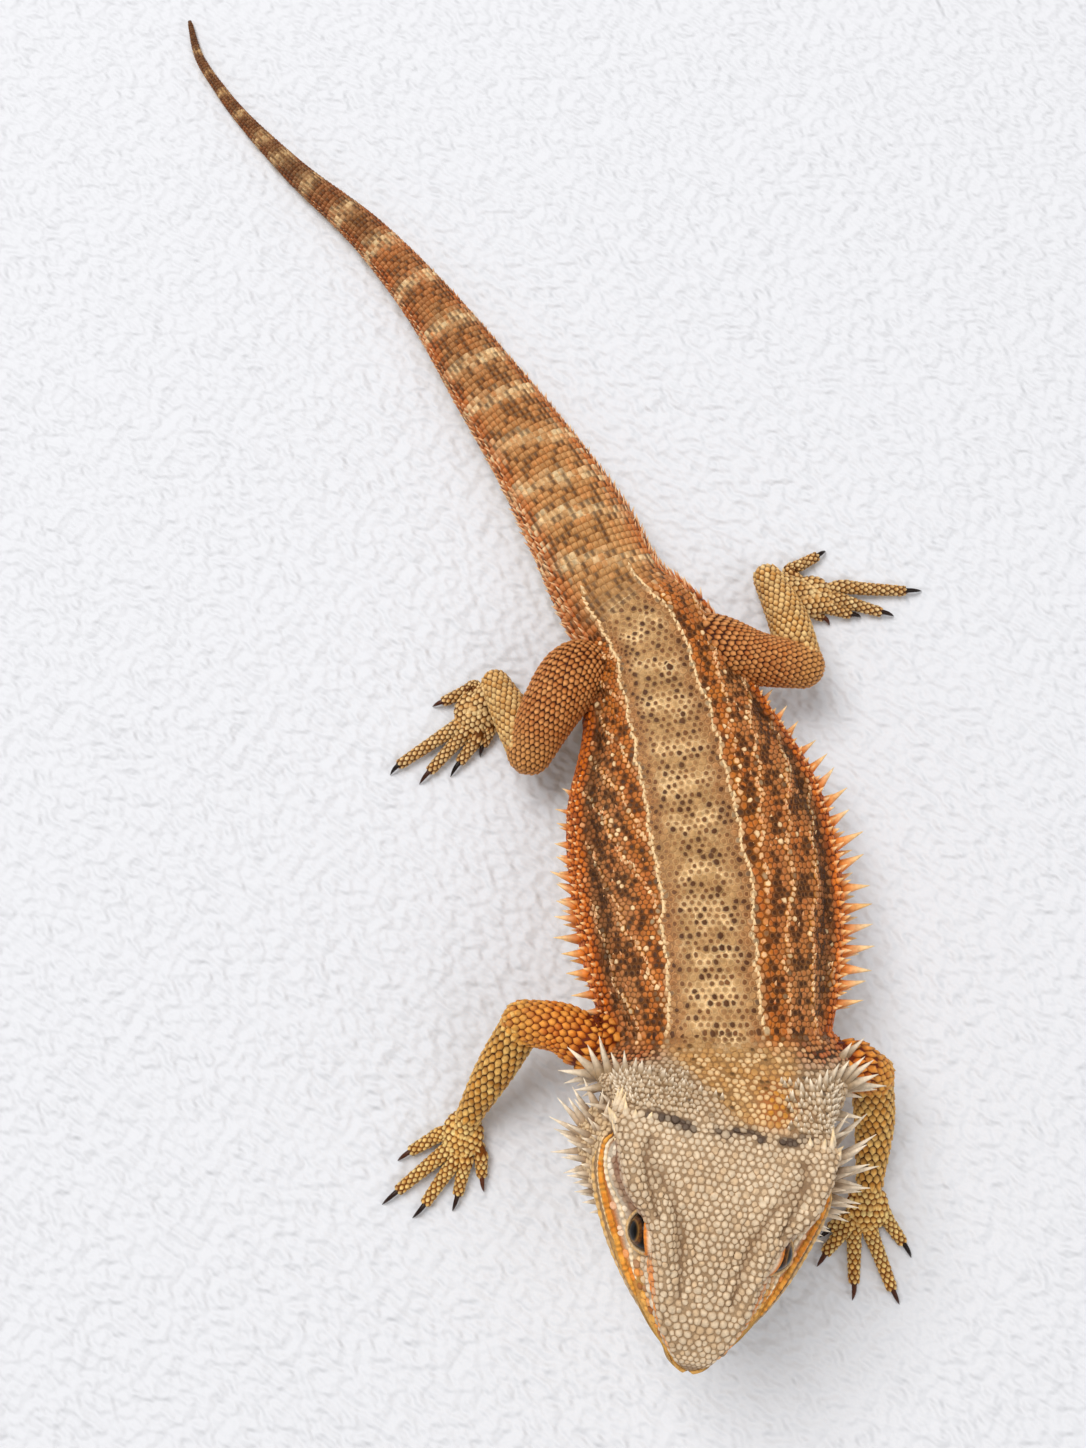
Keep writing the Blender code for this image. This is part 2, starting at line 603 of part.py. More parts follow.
def make_limb(limb, plan, body, floor):
    path = np.array(plan["path"], float)
    upper_name, lower_name, end_name = (limb + "_" + part for part in plan["parts"])
    inward = path[0] - path[1]
    root = path[0] + inward / np.linalg.norm(inward) * ROOT_DEPTH
    upper_path = [root, path[0], path[1], path[2]]
    upper_radii = (plan["upper"][0], *plan["upper"])
    lower_path = path[2:5]
    upper = cut(tube(upper_name, upper_path, upper_radii, LIMB_SIDES), body)
    upper_cutter = grown(upper)
    lower = cut(tube(lower_name, lower_path, plan["lower"], LIMB_SIDES), [upper_cutter, *body, floor])
    lower_cutter = grown(lower)
    palm = path[5]
    end = ball(end_name, palm, plan["palm"], LIMB_SIDES, PALM_RINGS)
    wrist_path = [path[4], 0.4 * path[4] + 0.6 * palm, palm]
    wrist = tube("wrist", wrist_path, WRIST_RADII, WRIST_SIDES, rings=3, cap_rings=1)
    pieces = [wrist]
    for spec in plan["digits"]:
        pieces.append(digit(palm, spec))
    joined(end, pieces)
    cut(end, [floor, lower_cutter, upper_cutter])
    removed([upper_cutter, lower_cutter])
    return {upper_name: upper, lower_name: lower, end_name: end}


def make_floor():
    # Everything below z = 0 is cut off, so that the animal rests on flats at one level
    sides = (-FLOOR_HALF, FLOOR_HALF)
    corners = np.array([[x, y, z] for x in sides for y in sides for z in (-FLOOR_DEPTH, 0)], float)
    faces = [(0, 1, 3, 2), (4, 6, 7, 5), (0, 4, 5, 1), (2, 3, 7, 6), (0, 2, 6, 4), (1, 5, 7, 3)]
    return mesh_object("floor_cutter", corners, faces)


def frame_at(surface, row, turn):
    # Point, outward normal and direction toward the tail on a surface
    across = surface(row, turn + PROBE_TURN) - surface(row, turn - PROBE_TURN)
    back = surface(row + PROBE_ROW, turn) - surface(row - PROBE_ROW, turn)
    out = np.cross(across, back)
    return surface(row, turn), out / np.linalg.norm(out), back / np.linalg.norm(back)


def head_surface(from_snout, turn):
    return head_to_world(head_local(from_snout, turn))


def limb_samples():
    # Points along every limb's axis with the radius there
    middle = []
    radius = []
    for plan in LIMBS.values():
        path = np.array(plan["path"], float)
        for points, radii in ((path[:3], plan["upper"]), (path[2:5], plan["lower"])):
            at = lengths_along(points)
            where = np.linspace(0, at[-1], 12)
            middle.append(hermite(at, points, where))
            radius.append(hermite(np.linspace(0, at[-1], 3), np.array(radii, float), where))
    return np.concatenate(middle), np.concatenate(radius)


def clear_of_limbs(points):
    away = np.linalg.norm(points[:, None] - LIMB_MIDDLE[None], axis=-1) - LIMB_RADIUS
    return away.min() > SPINE_CLEARANCE


def spine(surface, row, turn, length, radius, lean):
    # A cone on the surface, leaning out, toward the tail and up. None where a limb is in the way
    root, out, back = frame_at(surface, row, turn)
    way = lean[0] * out + lean[1] * back + lean[2] * np.array([0, 0, 1.0])
    way = way / np.linalg.norm(way)
    length = length * (1 + SPINE_VARIATION * (2 * chance.random() - 1))
    if not clear_of_limbs(root + np.linspace(0.2, 1, 5)[:, None] * length * way):
        return None
    whole = length + SPINE_SUNK
    shell = bmesh.new()
    bmesh.ops.create_cone(shell, cap_ends=True, segments=SPINE_SIDES, radius1=radius,
                          radius2=SPINE_TIP, depth=whole)
    turn_to = Vector(way).to_track_quat("Z", "Y").to_matrix()
    middle = root + way * (whole / 2 - SPINE_SUNK)
    points = np.array([turn_to @ v.co for v in shell.verts]) + middle
    faces = [tuple(v.index for v in f.verts) for f in shell.faces]
    shell.free()
    return mesh_object("spine", points, faces)


def fringe_spines(first, last):
    # Spines of both flanks whose station lies between two lengths
    spines = []
    for side, (front, rear) in FRINGE_SPANS.items():
        start = np.interp(front, STATIONS[:, 1], STATION_AT)
        end = np.interp(rear, STATIONS[:, 1], STATION_AT)
        for turn, size, offset in FRINGE_ROWS:
            for along in np.arange(start + offset * FRINGE_SPACING, end, FRINGE_SPACING):
                if not first + FRINGE_RADIUS < along < last - FRINGE_RADIUS:
                    continue
                share = (along - start) / (end - start)
                length = size * (FRINGE_LONG + (FRINGE_SHORT - FRINGE_LONG) * max(0.0, share * 1.6 - 0.6))
                spines.append(spine(body_points, along, side * turn * np.pi, length,
                                    FRINGE_RADIUS * size**0.5, FRINGE_LEAN))
    return spines


def beard_spines():
    spines = []
    for turn, first, last, count, length in BEARD_ROWS:
        for number, at in enumerate(np.linspace(first, last, count)):
            size = 0.6 + 0.4 * number / (count - 1)
            for side in (-1, 1):
                spines.append(spine(head_surface, at - 1.5, side * turn * np.pi, length * size,
                                    BEARD_RADIUS * size**0.5, BEARD_LEAN))
    return spines


def corner_spines():
    return [spine(head_surface, at, side * turn * np.pi, length, CORNER_RADIUS, CORNER_LEAN)
            for turn, at, length in CORNER_SPINES for side in (-1, 1)]


def collar_spines():
    return [spine(neck_points, share, side * turn * np.pi, length, 0.8 + 0.05 * length, COLLAR_LEAN)
            for turn, share, length in COLLAR_SPINES for side in (-1, 1)]


def tail_spines():
    start = STATION_AT[6] + 3.0
    end = STATION_AT[8] - 3.0
    return [spine(body_points, along, side * 0.5 * np.pi, TAIL_SPINE_LENGTH, TAIL_SPINE_RADIUS, TAIL_LEAN)
            for along in np.linspace(start, end, TAIL_SPINES) for side in (-1, 1)]


def with_spines(node, spines):
    return joined(node, [made for made in spines if made])


for old in list(bpy.data.objects):
    bpy.data.objects.remove(old)
collection = bpy.data.collections.new("bearded_dragon")
bpy.context.scene.collection.children.link(collection)
chance = np.random.default_rng(7)
LIMB_MIDDLE, LIMB_RADIUS = limb_samples()

floor_cutter = make_floor()
nodes = make_head()
nodes.update(make_neck())
nodes.update(make_trunk_and_tail(floor_cutter))
body_cutters = [grown(nodes[name]) for name in ("neck", "chest", "belly", "pelvis", "tail_base")]
for limb_name, limb_plan in LIMBS.items():
    nodes.update(make_limb(limb_name, limb_plan, body_cutters, floor_cutter))

with_spines(nodes["lower_jaw"], beard_spines())
with_spines(nodes["head"], corner_spines())
with_spines(nodes["neck"], collar_spines())
with_spines(nodes["chest"], fringe_spines(STATION_AT[0], STATION_AT[2]))
with_spines(nodes["belly"], fringe_spines(STATION_AT[2], STATION_AT[4]))
with_spines(nodes["pelvis"], fringe_spines(STATION_AT[4], STATION_AT[6]))
with_spines(nodes["tail_base"], tail_spines())
removed([floor_cutter, *body_cutters])

for node_name, made_node in nodes.items():
    if node_name.startswith("eye"):
        coloured(made_node, EYE_BLACK, 0.1)
    elif node_name.startswith("tail"):
        coloured(made_node, SCALES_TAIL)
    elif node_name.startswith(("fore", "hind")):
        coloured(made_node, SCALES_LIMB)
    elif node_name in ("head", "lower_jaw", "neck"):
        coloured(made_node, SCALES_HEAD)
    else:
        coloured(made_node, SCALES_BACK)
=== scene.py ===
import json

import bmesh
import bpy
import numpy as np
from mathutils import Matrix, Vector
from mathutils.bvhtree import BVHTree
from mathutils.kdtree import KDTree

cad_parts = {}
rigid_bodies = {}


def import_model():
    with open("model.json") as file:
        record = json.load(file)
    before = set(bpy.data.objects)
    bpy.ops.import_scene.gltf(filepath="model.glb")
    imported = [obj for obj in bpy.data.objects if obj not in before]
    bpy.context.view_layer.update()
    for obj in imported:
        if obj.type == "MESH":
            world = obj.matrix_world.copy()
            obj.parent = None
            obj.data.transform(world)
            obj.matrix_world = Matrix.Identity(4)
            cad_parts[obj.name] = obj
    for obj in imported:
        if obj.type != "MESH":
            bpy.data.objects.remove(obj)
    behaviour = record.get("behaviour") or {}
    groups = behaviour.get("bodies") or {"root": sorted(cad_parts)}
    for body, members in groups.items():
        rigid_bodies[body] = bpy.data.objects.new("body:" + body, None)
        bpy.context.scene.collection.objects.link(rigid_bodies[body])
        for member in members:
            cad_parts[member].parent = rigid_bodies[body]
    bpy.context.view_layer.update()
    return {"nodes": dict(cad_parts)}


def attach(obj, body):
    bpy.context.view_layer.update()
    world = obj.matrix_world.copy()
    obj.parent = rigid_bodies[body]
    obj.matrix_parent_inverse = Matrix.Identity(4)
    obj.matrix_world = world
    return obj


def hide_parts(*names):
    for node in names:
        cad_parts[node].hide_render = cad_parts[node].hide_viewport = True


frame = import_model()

for name in ("Cube", "Light", "Camera"):
    if name in bpy.data.objects:
        bpy.data.objects.remove(bpy.data.objects[name])

half = np.pi / 2
frameCentre = np.array([-1.7, 38.9, 0.0])  # the middle of the solids' box
mottleTable = (61, 67)  # entries of a noise table, across and along
mottleStart = 500  # keeps the places in it above zero
leastHeight = 0.03  # of scales, spines and claws above the floor
fleshNodes = [node for node in frame["nodes"] if not node.startswith("eye")]


# Helpers

def toWorld(points):
    # Millimetres from the animal's origin to metres from the middle of its box
    return (np.asarray(points) - frameCentre) * 0.001


def tone(red, green, blue):
    # A colour as eyes read it, from 0 to 255, turned into linear light
    level = np.array([red, green, blue]) / 255.0
    return np.where(level < 0.04045, level / 12.92, ((level + 0.055) / 1.055) ** 2.4)


def mix(first, second, share):
    # The first colour plus a share of the way to the second
    return first + (second - first) * np.asarray(share)[..., None]


def washed(colours, over, share):
    # Each of some colours mixed toward one other
    return tuple(mix(colour, over, share) for colour in colours)


def layered(colours, others, share):
    # Each of some colours mixed toward its own other
    return tuple(mix(colour, other, share) for colour, other in zip(colours, others))


def bump(value, middle, width):
    # Bell curve: 1 at the middle, falling with the square of the distance over the width
    return np.exp(-((value - middle) / width) ** 2)


def ramp(value, low, high):
    # Smooth step from 0 at low to 1 at high
    t = np.clip((value - low) / (high - low), 0, 1)
    return t * t * (3 - 2 * t)


def mottle(across, along, size, seed):
    # Smooth shade from 0 to 1: a seeded table of numbers read between its four nearest entries
    wide, long = mottleTable
    table = np.random.default_rng(seed).random(mottleTable)
    u = across / size + mottleStart
    v = along / size + mottleStart
    i = np.floor(u).astype(int)
    j = np.floor(v).astype(int)
    s = ramp(u - i, 0, 1)
    t = ramp(v - j, 0, 1)
    near = table[i % wide, j % long] * (1 - s) + table[(i + 1) % wide, j % long] * s
    far = table[i % wide, (j + 1) % long] * (1 - s) + table[(i + 1) % wide, (j + 1) % long] * s
    return near * (1 - t) + far * t


def hermite(knots, values, at):
    # Smooth curve through the values at the knots, one cubic between each pair
    knots = np.asarray(knots, float)
    values = np.asarray(values, float)
    at = np.asarray(at, float)
    slopes = np.gradient(values, knots, axis=0)
    piece = np.clip(np.searchsorted(knots, at) - 1, 0, len(knots) - 2)
    width = knots[piece + 1] - knots[piece]
    t = (at - knots[piece]) / width
    if values.ndim > 1:
        t = t[..., None]
        width = width[..., None]
    start = (2 * t**3 - 3 * t**2 + 1) * values[piece] + (t**3 - 2 * t**2 + t) * width * slopes[piece]
    end = (3 * t**2 - 2 * t**3) * values[piece + 1] + (t**3 - t**2) * width * slopes[piece + 1]
    return start + end


def lengthsAlong(points):
    # The length run along a line of points up to each of them
    return np.concatenate([[0.0], np.cumsum(np.linalg.norm(np.diff(points, axis=0), axis=1))])


def unit(vectors):
    # Each vector divided by its length
    return vectors / np.maximum(np.linalg.norm(vectors, axis=-1, keepdims=True), 1e-9)


def circle(count):
    # Angles evenly round a circle
    return np.arange(count) * 2 * np.pi / count


def folded(turn):
    # The turn from the back, 0 to a half circle, and the side that it is on
    wrapped = np.mod(turn, 2 * np.pi)
    return np.where(wrapped > np.pi, 2 * np.pi - wrapped, wrapped), np.where(wrapped > np.pi, -1.0, 1.0)


# The animal's own shape, as the solids have it

trunk = {
    # x, y, half width, top, bottom, how round the section is
    "stations": np.array([
        [52.0, -101.0, 33.5, 57.0, 11.0, 0.2], [51.5, -83.0, 38.5, 54.0, 4.0, 0.1],
        [50.5, -56.0, 42.0, 47.0, -0.4, 0.0], [46.2, -27.0, 39.4, 43.0, -0.4, 0.0],
        [40.8, 0.0, 29.0, 39.0, -0.4, 0.1], [34.0, 24.0, 23.0, 35.0, -0.4, 0.3],
        [24.3, 38.0, 19.4, 31.0, -0.4, 0.6], [12.0, 64.0, 17.7, 27.0, -0.4, 0.8],
        [-3.0, 91.0, 15.0, 22.5, -0.35, 1.0], [-20.0, 118.0, 12.4, 18.5, -0.35, 1.0],
        [-38.0, 146.0, 9.4, 14.5, -0.3, 1.0], [-61.0, 175.0, 6.9, 11.0, -0.25, 1.0],
        [-91.0, 204.0, 4.3, 7.5, -0.2, 1.0], [-117.0, 235.0, 2.3, 4.4, -0.15, 1.0],
        [-126.4, 250.5, 1.8, 3.4, -0.12, 1.0], [-130.8, 266.0, 1.1, 2.2, -0.1, 1.0]]),
    "widestLevel": 0.42,
    "turn": np.array([0.0, 0.17, 0.32, 0.44, 0.52, 0.60, 0.72, 0.86, 1.0]) * np.pi,
    "out": np.array([0.0, 0.34, 0.68, 0.93, 1.0, 0.95, 0.78, 0.40, 0.0]),
    "up": np.array([1.0, 0.985, 0.80, 0.42, 0.12, -0.35, -0.85, -1.0, -1.0]),
}
stationAt = lengthsAlong(trunk["stations"][:, :2])

head = {
    "length": 66.0, "at": np.array([48.5, -123.6, 58.0]), "yaw": -9.0, "pitch": -4.0, "roll": 4.0,
    "tip": 3.0,  # the snout is rounded over this length
    "lipAt": [0, 3, 6, 10, 16, 22, 27, 34, 41, 48, 56, 66],
    "lip": [3.4, 5.7, 8.2, 11.8, 16.6, 21.0, 24.3, 28.0, 30.6, 32.0, 31.5, 29.0],
    "browAt": [0, 6, 11, 16, 21, 27, 33, 38, 44, 50, 58, 66],
    "brow": [2.4, 7, 9.8, 11.6, 12.8, 14.3, 16.0, 18.6, 23, 26, 27.5, 27],
    "crownAt": [0, 2, 6, 12, 18, 26, 34, 43, 52, 60, 66],
    "crown": [2.6, 5.2, 8, 11, 13.5, 16.3, 19, 20.8, 21.3, 20.3, 18.5],
    "jawAt": [0, 2, 6, 12, 20, 30, 40, 50, 58, 66],
    "jaw": [-2.2, -3.4, -5, -7, -9, -12, -16, -19.5, -21, -20.5],
    "mouthAt": [0, 10, 20, 32, 44, 54, 66],
    "mouth": [0, 1, 0, -1.5, -1, 1, 1],
    "ringTurn": np.array([0.0, 0.14, 0.27, 0.37, 0.46, 0.50, 0.54, 0.66, 0.83, 1.0]) * np.pi,
    # Swellings: middle (x, from the snout, z), radii, height, direction
    "swellings": [
        ((14.2, 33, 17), (5, 9, 5), 2.0, (0.4, 0, 0.9)),
        ((9, 35, 18.5), (2.5, 12, 4), -1.1, (0, 0, 1)),
        ((23, 49, 14), (5, 10, 6), 2.2, (0.8, 0, 0.6)),
        ((24.5, 43, 7.5), (3, 6, 3.5), -2.0, (1, 0, 0.2)),
        ((6, 8, 7), (2.5, 3, 2.5), 0.7, (0.6, 0, 0.8)),
        ((19, 33, 9.5), (4.5, 6.5, 4), -1.8, (1, 0, 0)),
        ((30, 58, -11), (10, 13, 10), 8.0, (1, 0, -0.2))],
    # Finer ones that only the skin has
    "folds": [
        ((11.5, 17, 12), (2.0, 10, 2.5), 0.7, (0.5, 0, 0.9)),
        ((4.5, 26, 16), (1.8, 11, 4), -0.6, (0, 0, 1)),
        ((0, 30, 18), (2.2, 16, 5), 0.5, (0, 0, 1)),
        ((28, 60, 3), (2.6, 2.4, 4.0), -2.6, (1, 0, 0.1)),
        ((25, 55, 14), (3.0, 5, 3.5), 0.9, (0.8, 0, 0.6)),
        ((19.5, 33, 10), (5.0, 5.6, 4.4), -2.2, (1, 0, 0.3))],
}

neckLength = 26.0
collarSwell = 7.0
bodyStart = head["length"] + neckLength
bodyEnd = bodyStart + stationAt[-1]


def bodyPoints(along, turn):
    # The section's width, top and bottom follow curves along the axis. Out and up follow the turn
    along, turn = np.broadcast_arrays(np.asarray(along, float), turn)
    row = hermite(stationAt, trunk["stations"], along)
    ahead = hermite(stationAt, trunk["stations"][:, :2], along + 0.5)
    behind = hermite(stationAt, trunk["stations"][:, :2], along - 0.5)
    heading = unit(ahead - behind)
    fold, side = folded(turn)
    roundness = row[..., 5]
    out = (1 - roundness) * hermite(trunk["turn"], trunk["out"], fold) + roundness * np.sin(fold)
    up = (1 - roundness) * hermite(trunk["turn"], trunk["up"], fold) + roundness * np.cos(fold)
    top, bottom = row[..., 3], row[..., 4]
    level = bottom + (trunk["widestLevel"] + (0.5 - trunk["widestLevel"]) * roundness) * (top - bottom)
    height = np.where(up > 0, level + up * (top - level), level + up * (level - bottom))
    reach = side * out * row[..., 2]
    return np.stack([row[..., 0] + heading[..., 1] * reach, row[..., 1] - heading[..., 0] * reach, height], -1)


def turned(yaw, pitch, roll):
    # Roll about y, then pitch about x, then yaw about z
    a, b, c = np.radians([yaw, pitch, roll])
    aboutZ = np.array([[np.cos(a), -np.sin(a), 0], [np.sin(a), np.cos(a), 0], [0, 0, 1]])
    aboutX = np.array([[1, 0, 0], [0, np.cos(b), -np.sin(b)], [0, np.sin(b), np.cos(b)]])
    aboutY = np.array([[np.cos(c), 0, np.sin(c)], [0, 1, 0], [-np.sin(c), 0, np.cos(c)]])
    return aboutZ @ aboutX @ aboutY


headTurn = turned(head["yaw"], head["pitch"], head["roll"])


def headToBody(local):
    # From (x, distance from the snout tip, z) to the animal's frame
    return (np.asarray(local, float) - [0.0, head["length"], 0.0]) @ headTurn.T + head["at"]


def headLocal(fromSnout, turn, folds=True):
    # A ring through ten named places from crown to throat, drawn in as a quarter circle at the tip,
    # then swellings that fade as a bell curve
    fromSnout, turn = np.broadcast_arrays(np.asarray(fromSnout, float), turn)
    lip = hermite(head["lipAt"], head["lip"], fromSnout)
    brow = hermite(head["browAt"], head["brow"], fromSnout)
    top = hermite(head["crownAt"], head["crown"], fromSnout)
    bottom = hermite(head["jawAt"], head["jaw"], fromSnout)
    mouth = hermite(head["mouthAt"], head["mouth"], fromSnout)
    browLevel = top - 0.13 * (top - mouth)
    out = np.stack([0 * lip, 0.55 * brow, brow, 0.45 * brow + 0.55 * lip, lip,
                    lip - 0.5, lip - 0.3, 0.92 * lip, 0.5 * lip, 0 * lip], -1)
    up = np.stack([top, top - 0.02 * (top - mouth), browLevel, 0.5 * (browLevel + mouth), mouth + 1.8,
                   mouth, mouth - 1.8, 0.45 * mouth + 0.55 * bottom, 0.03 * mouth + 0.97 * bottom, bottom], -1)
    fold, side = folded(turn)
    weights = hermite(head["ringTurn"], np.eye(len(head["ringTurn"])), fold)
    ball = np.sqrt(np.clip(1 - (1 - np.clip(fromSnout / head["tip"], 0, 1)) ** 2, 1e-4, 1))
    high = mouth + ball * ((up * weights).sum(-1) - mouth)
    points = np.stack([ball * (out * weights).sum(-1), fromSnout, high], -1)
    swellings = head["swellings"] + (head["folds"] if folds else [])
    for middle, radii, swell, direction in swellings:
        away = (points - middle) / radii
        points = points + (swell * np.exp(-(away**2).sum(-1)))[..., None] * np.asarray(direction)
    points[..., 0] *= side
    return points


def neckPoints(share, turn):
    # Bends from the head's back plane to the first body station, and swells at the sides
    step = 3.0
    start = headToBody(headLocal(head["length"], turn))
    before = headToBody(headLocal(head["length"] - step, turn))
    finish = bodyPoints(0.0, turn)
    after = bodyPoints(step, turn)
    t = np.asarray(share, float)[..., None]
    reach = 24.0 / step
    points = ((2 * t**3 - 3 * t**2 + 1) * start + (t**3 - 2 * t**2 + t) * reach * (start - before)
              + (3 * t**2 - 2 * t**3) * finish + (t**3 - t**2) * reach * (after - finish))
    side = np.sin(turn)
    swell = collarSwell * 4 * t[..., 0] * (1 - t[..., 0]) * np.sign(side) * side**4
    return points + swell[..., None] * [1.0, 0.1, 0.1]


def dragonPoints(row, turn):
    # Snout to tail tip as one surface: head, then neck, then trunk and tail
    row, turn = np.broadcast_arrays(np.asarray(row, float), np.asarray(turn, float))
    made = bodyPoints(np.clip(row - bodyStart, 0, stationAt[-1]), turn)
    onHead = row <= head["length"]
    onNeck = (row > head["length"]) & (row < bodyStart)
    made[onHead] = headToBody(headLocal(row[onHead], turn[onHead]))
    made[onNeck] = neckPoints((row[onNeck] - head["length"]) / neckLength, turn[onNeck])
    return made


def axes(surface, row, turn, step=0.35):
    # Point, outward normal, direction toward the rear and direction across, by small steps
    across = unit(surface(row, turn + 0.02) - surface(row, turn - 0.02))
    back = unit(surface(row + step, turn) - surface(row - step, turn))
    out = unit(np.cross(across, back))
    return surface(row, turn), out, back, unit(np.cross(back, out))


# Limbs

limbs = {
    # Path: shoulder or hip, upper limb, elbow or knee, shank, wrist and palm. Radii follow.
    # Digits: base from the palm's middle and its angle, heading, length, claw
    "foreRight": {
        "path": [(16.7, -104.2, 37), (5, -99.3, 36), (-5.7, -97.5, 31),
                 (-16.5, -114.7, 18), (-22.6, -124.9, 8.5), (-24.9, -131.4, 4.6)],
        "inner": (7, 8, -3), "innerRadius": 6.5,
        "upper": (8.3, 7.4, 6.6), "lower": (6.3, 5.9, 4.1), "palm": (6.6, 7.6, 3.6),
        "digits": [(8.3, 42, 3, 7.5, 3.6), (7.7, 7, -13, 11.7, 4.2), (8.6, -18, -35, 16.8, 4.4),
                   (7.5, -46, -51, 20.3, 4.9), (7.0, -89, -61, 11.7, 3.8)]},
    "foreLeft": {
        "path": [(84, -111.0, 37), (90.2, -110.0, 36), (97.3, -112.5, 31),
                 (100.3, -127.1, 18), (100.2, -144.8, 8.5), (100.1, -152.8, 4.6)],
        "inner": (-8, 8, -3), "innerRadius": 6.5,
        "upper": (8.3, 7.4, 6.6), "lower": (6.3, 5.9, 4.1), "palm": (6.6, 7.6, 3.6),
        "digits": [(5.7, -60, -58, 8.4, 3.0), (9.7, -46, -40, 10.4, 3.7), (8.2, -31, -2, 16.7, 4.1),
                   (7.6, 5, 20, 19.4, 3.6), (4.3, 71, 35, 12.7, 4.1)]},
    "hindRight": {
        "path": [(10.8, 11.8, 24), (3.2, 0.8, 25), (-4.1, -13.5, 21),
                 (-9.4, -1.2, 15), (-15.5, 11.8, 7.5), (-22.8, 3.1, 4.6)],
        "inner": (8, 5, -9), "innerRadius": 6.5,
        "upper": (10.4, 9.6, 7.4), "lower": (7.0, 6.6, 4.9), "palm": (6.8, 7.2, 3.6),
        "digits": [(7.8, 42, -24, 6.1, 2.7), (8.6, 9, -37, 10.8, 4.3), (7.0, -23, -42, 18.5, 4.0),
                   (5.0, -49, -56, 26.5, 2.5), (8.7, 179, -66, 12.4, 2.6)]},
    "hindLeft": {
        "path": [(53, 22.5, 24), (67, 16.4, 25), (83.0, 14.6, 21),
                 (80.2, 31.6, 15), (75.2, 48.2, 7.5), (90.4, 43, 4.6)],
        "inner": (-8, 4, -7), "innerRadius": 6.0,
        "upper": (9.0, 8.6, 7.4), "lower": (7.0, 6.6, 4.9), "palm": (6.8, 7.2, 3.6),
        "digits": [(4.8, -3, 63, 5.0, 2.3), (6.5, 55, 76, 8.7, 2.9), (8.4, 84, 75, 16.7, 3.3),
                   (10.1, 109, 88, 23.7, 4.4), (11.6, -142, 120, 12.2, 2.8)]},
}
digitShape = {"reach": np.array([0.0, 0.35, 0.7, 0.96]), "short": np.array([0.0, 0.0, 0.3, 1.1]),
              "radius": (2.5, 2.6, 2.35, 2.15, 1.95), "level": (4.2, 3.8, 3.0, 2.4, 2.1)}


def tubeSurface(path, radii, flatten=1.0):
    # A round-ended tube: rings square to a smooth path, their radius on a smooth curve,
    # shrinking as a half ball past each end
    path = np.asarray(path, float)
    at = lengthsAlong(path)
    radiusAt = np.linspace(0, at[-1], len(radii))
    ends = hermite(at, path, np.array([0.0, 0.01, at[-1] - 0.01, at[-1]]))
    first = unit(ends[1] - ends[0])
    last = unit(ends[3] - ends[2])

    def surface(row, turn):
        row, turn = np.broadcast_arrays(np.asarray(row, float), turn)
        inner = np.clip(row, 0, at[-1])
        past = row - inner
        middle = hermite(at, path, inner)
        middle = middle + np.where(past[..., None] < 0, first, last) * past[..., None]
        heading = unit(hermite(at, path, np.minimum(inner + 0.3, at[-1]))
                       - hermite(at, path, np.maximum(inner - 0.3, 0)))
        radius = hermite(radiusAt, np.asarray(radii, float), inner)
        radius = radius * np.sqrt(np.clip(1 - (past / radius) ** 2, 1e-6, 1))
        side = unit(np.cross(heading, [0, 0, 1.0]))
        upward = np.cross(side, heading)
        ring = np.sin(turn)[..., None] * side + flatten * np.cos(turn)[..., None] * upward
        return middle + radius[..., None] * ring

    surface.rows = (-radii[0], at[-1] + radii[-1])
    surface.length = at[-1]
    return surface


def palmSurface(centre, heading, radii):
    # An egg: the row is the angle from its wrist end, 0 to a half circle
    heading = np.array([heading[0], heading[1], 0.0])
    heading = heading / np.linalg.norm(heading)
    side = np.array([heading[1], -heading[0], 0.0])

    def surface(row, turn):
        row, turn = np.broadcast_arrays(np.asarray(row, float) / 8.0, turn)
        ring = np.sin(turn)[..., None] * side + np.cos(turn)[..., None] * [0, 0, 1.0]
        ball = -np.cos(row)[..., None] * heading + np.sin(row)[..., None] * ring
        return centre + ball * np.array(radii)

    surface.rows = (0.0, 8.0 * np.pi)
    surface.length = 8.0 * np.pi
    return surface


def digitLine(palm, spec):
    # A digit's root on the palm and its heading, both from angles off straight ahead, and a point
    # inside the palm
    baseOut, baseAngle, angle = spec[:3]
    base, way = np.radians([baseAngle, angle])
    forward = np.array([np.sin(way), -np.cos(way)])
    root = palm[:2] + baseOut * np.array([np.sin(base), -np.cos(base)])
    return root, forward, palm[:2] * 0.65 + root * 0.35


def limbSurfaces(plan):
    # Upper and lower limb, wrist, palm and digits
    path = np.array(plan["path"], float)
    palm = path[5]
    made = {
        "upper": tubeSurface([path[0] + plan["inner"], path[0], path[1], path[2]],
                             (plan["innerRadius"], *plan["upper"])),
        "lower": tubeSurface(path[2:5], plan["lower"]),
        "wrist": tubeSurface([path[4], 0.4 * path[4] + 0.6 * palm, palm], (3.7, 3.9, 3.6)),
        "palm": palmSurface(palm, palm[:2] - path[4][:2], plan["palm"]),
    }
    for number, spec in enumerate(plan["digits"]):
        root, forward, inner = digitLine(palm, spec)
        reach = digitShape["reach"] * spec[3] - digitShape["short"]
        points = np.concatenate([inner[None], root + reach[:, None] * forward])
        line = np.column_stack([points, digitShape["level"]])
        made["digit%d" % number] = tubeSurface(line, digitShape["radius"])
    return made


limbParts = {limb: limbSurfaces(plan) for limb, plan in limbs.items()}
print("shapes ready")


# Relief that only the skin has

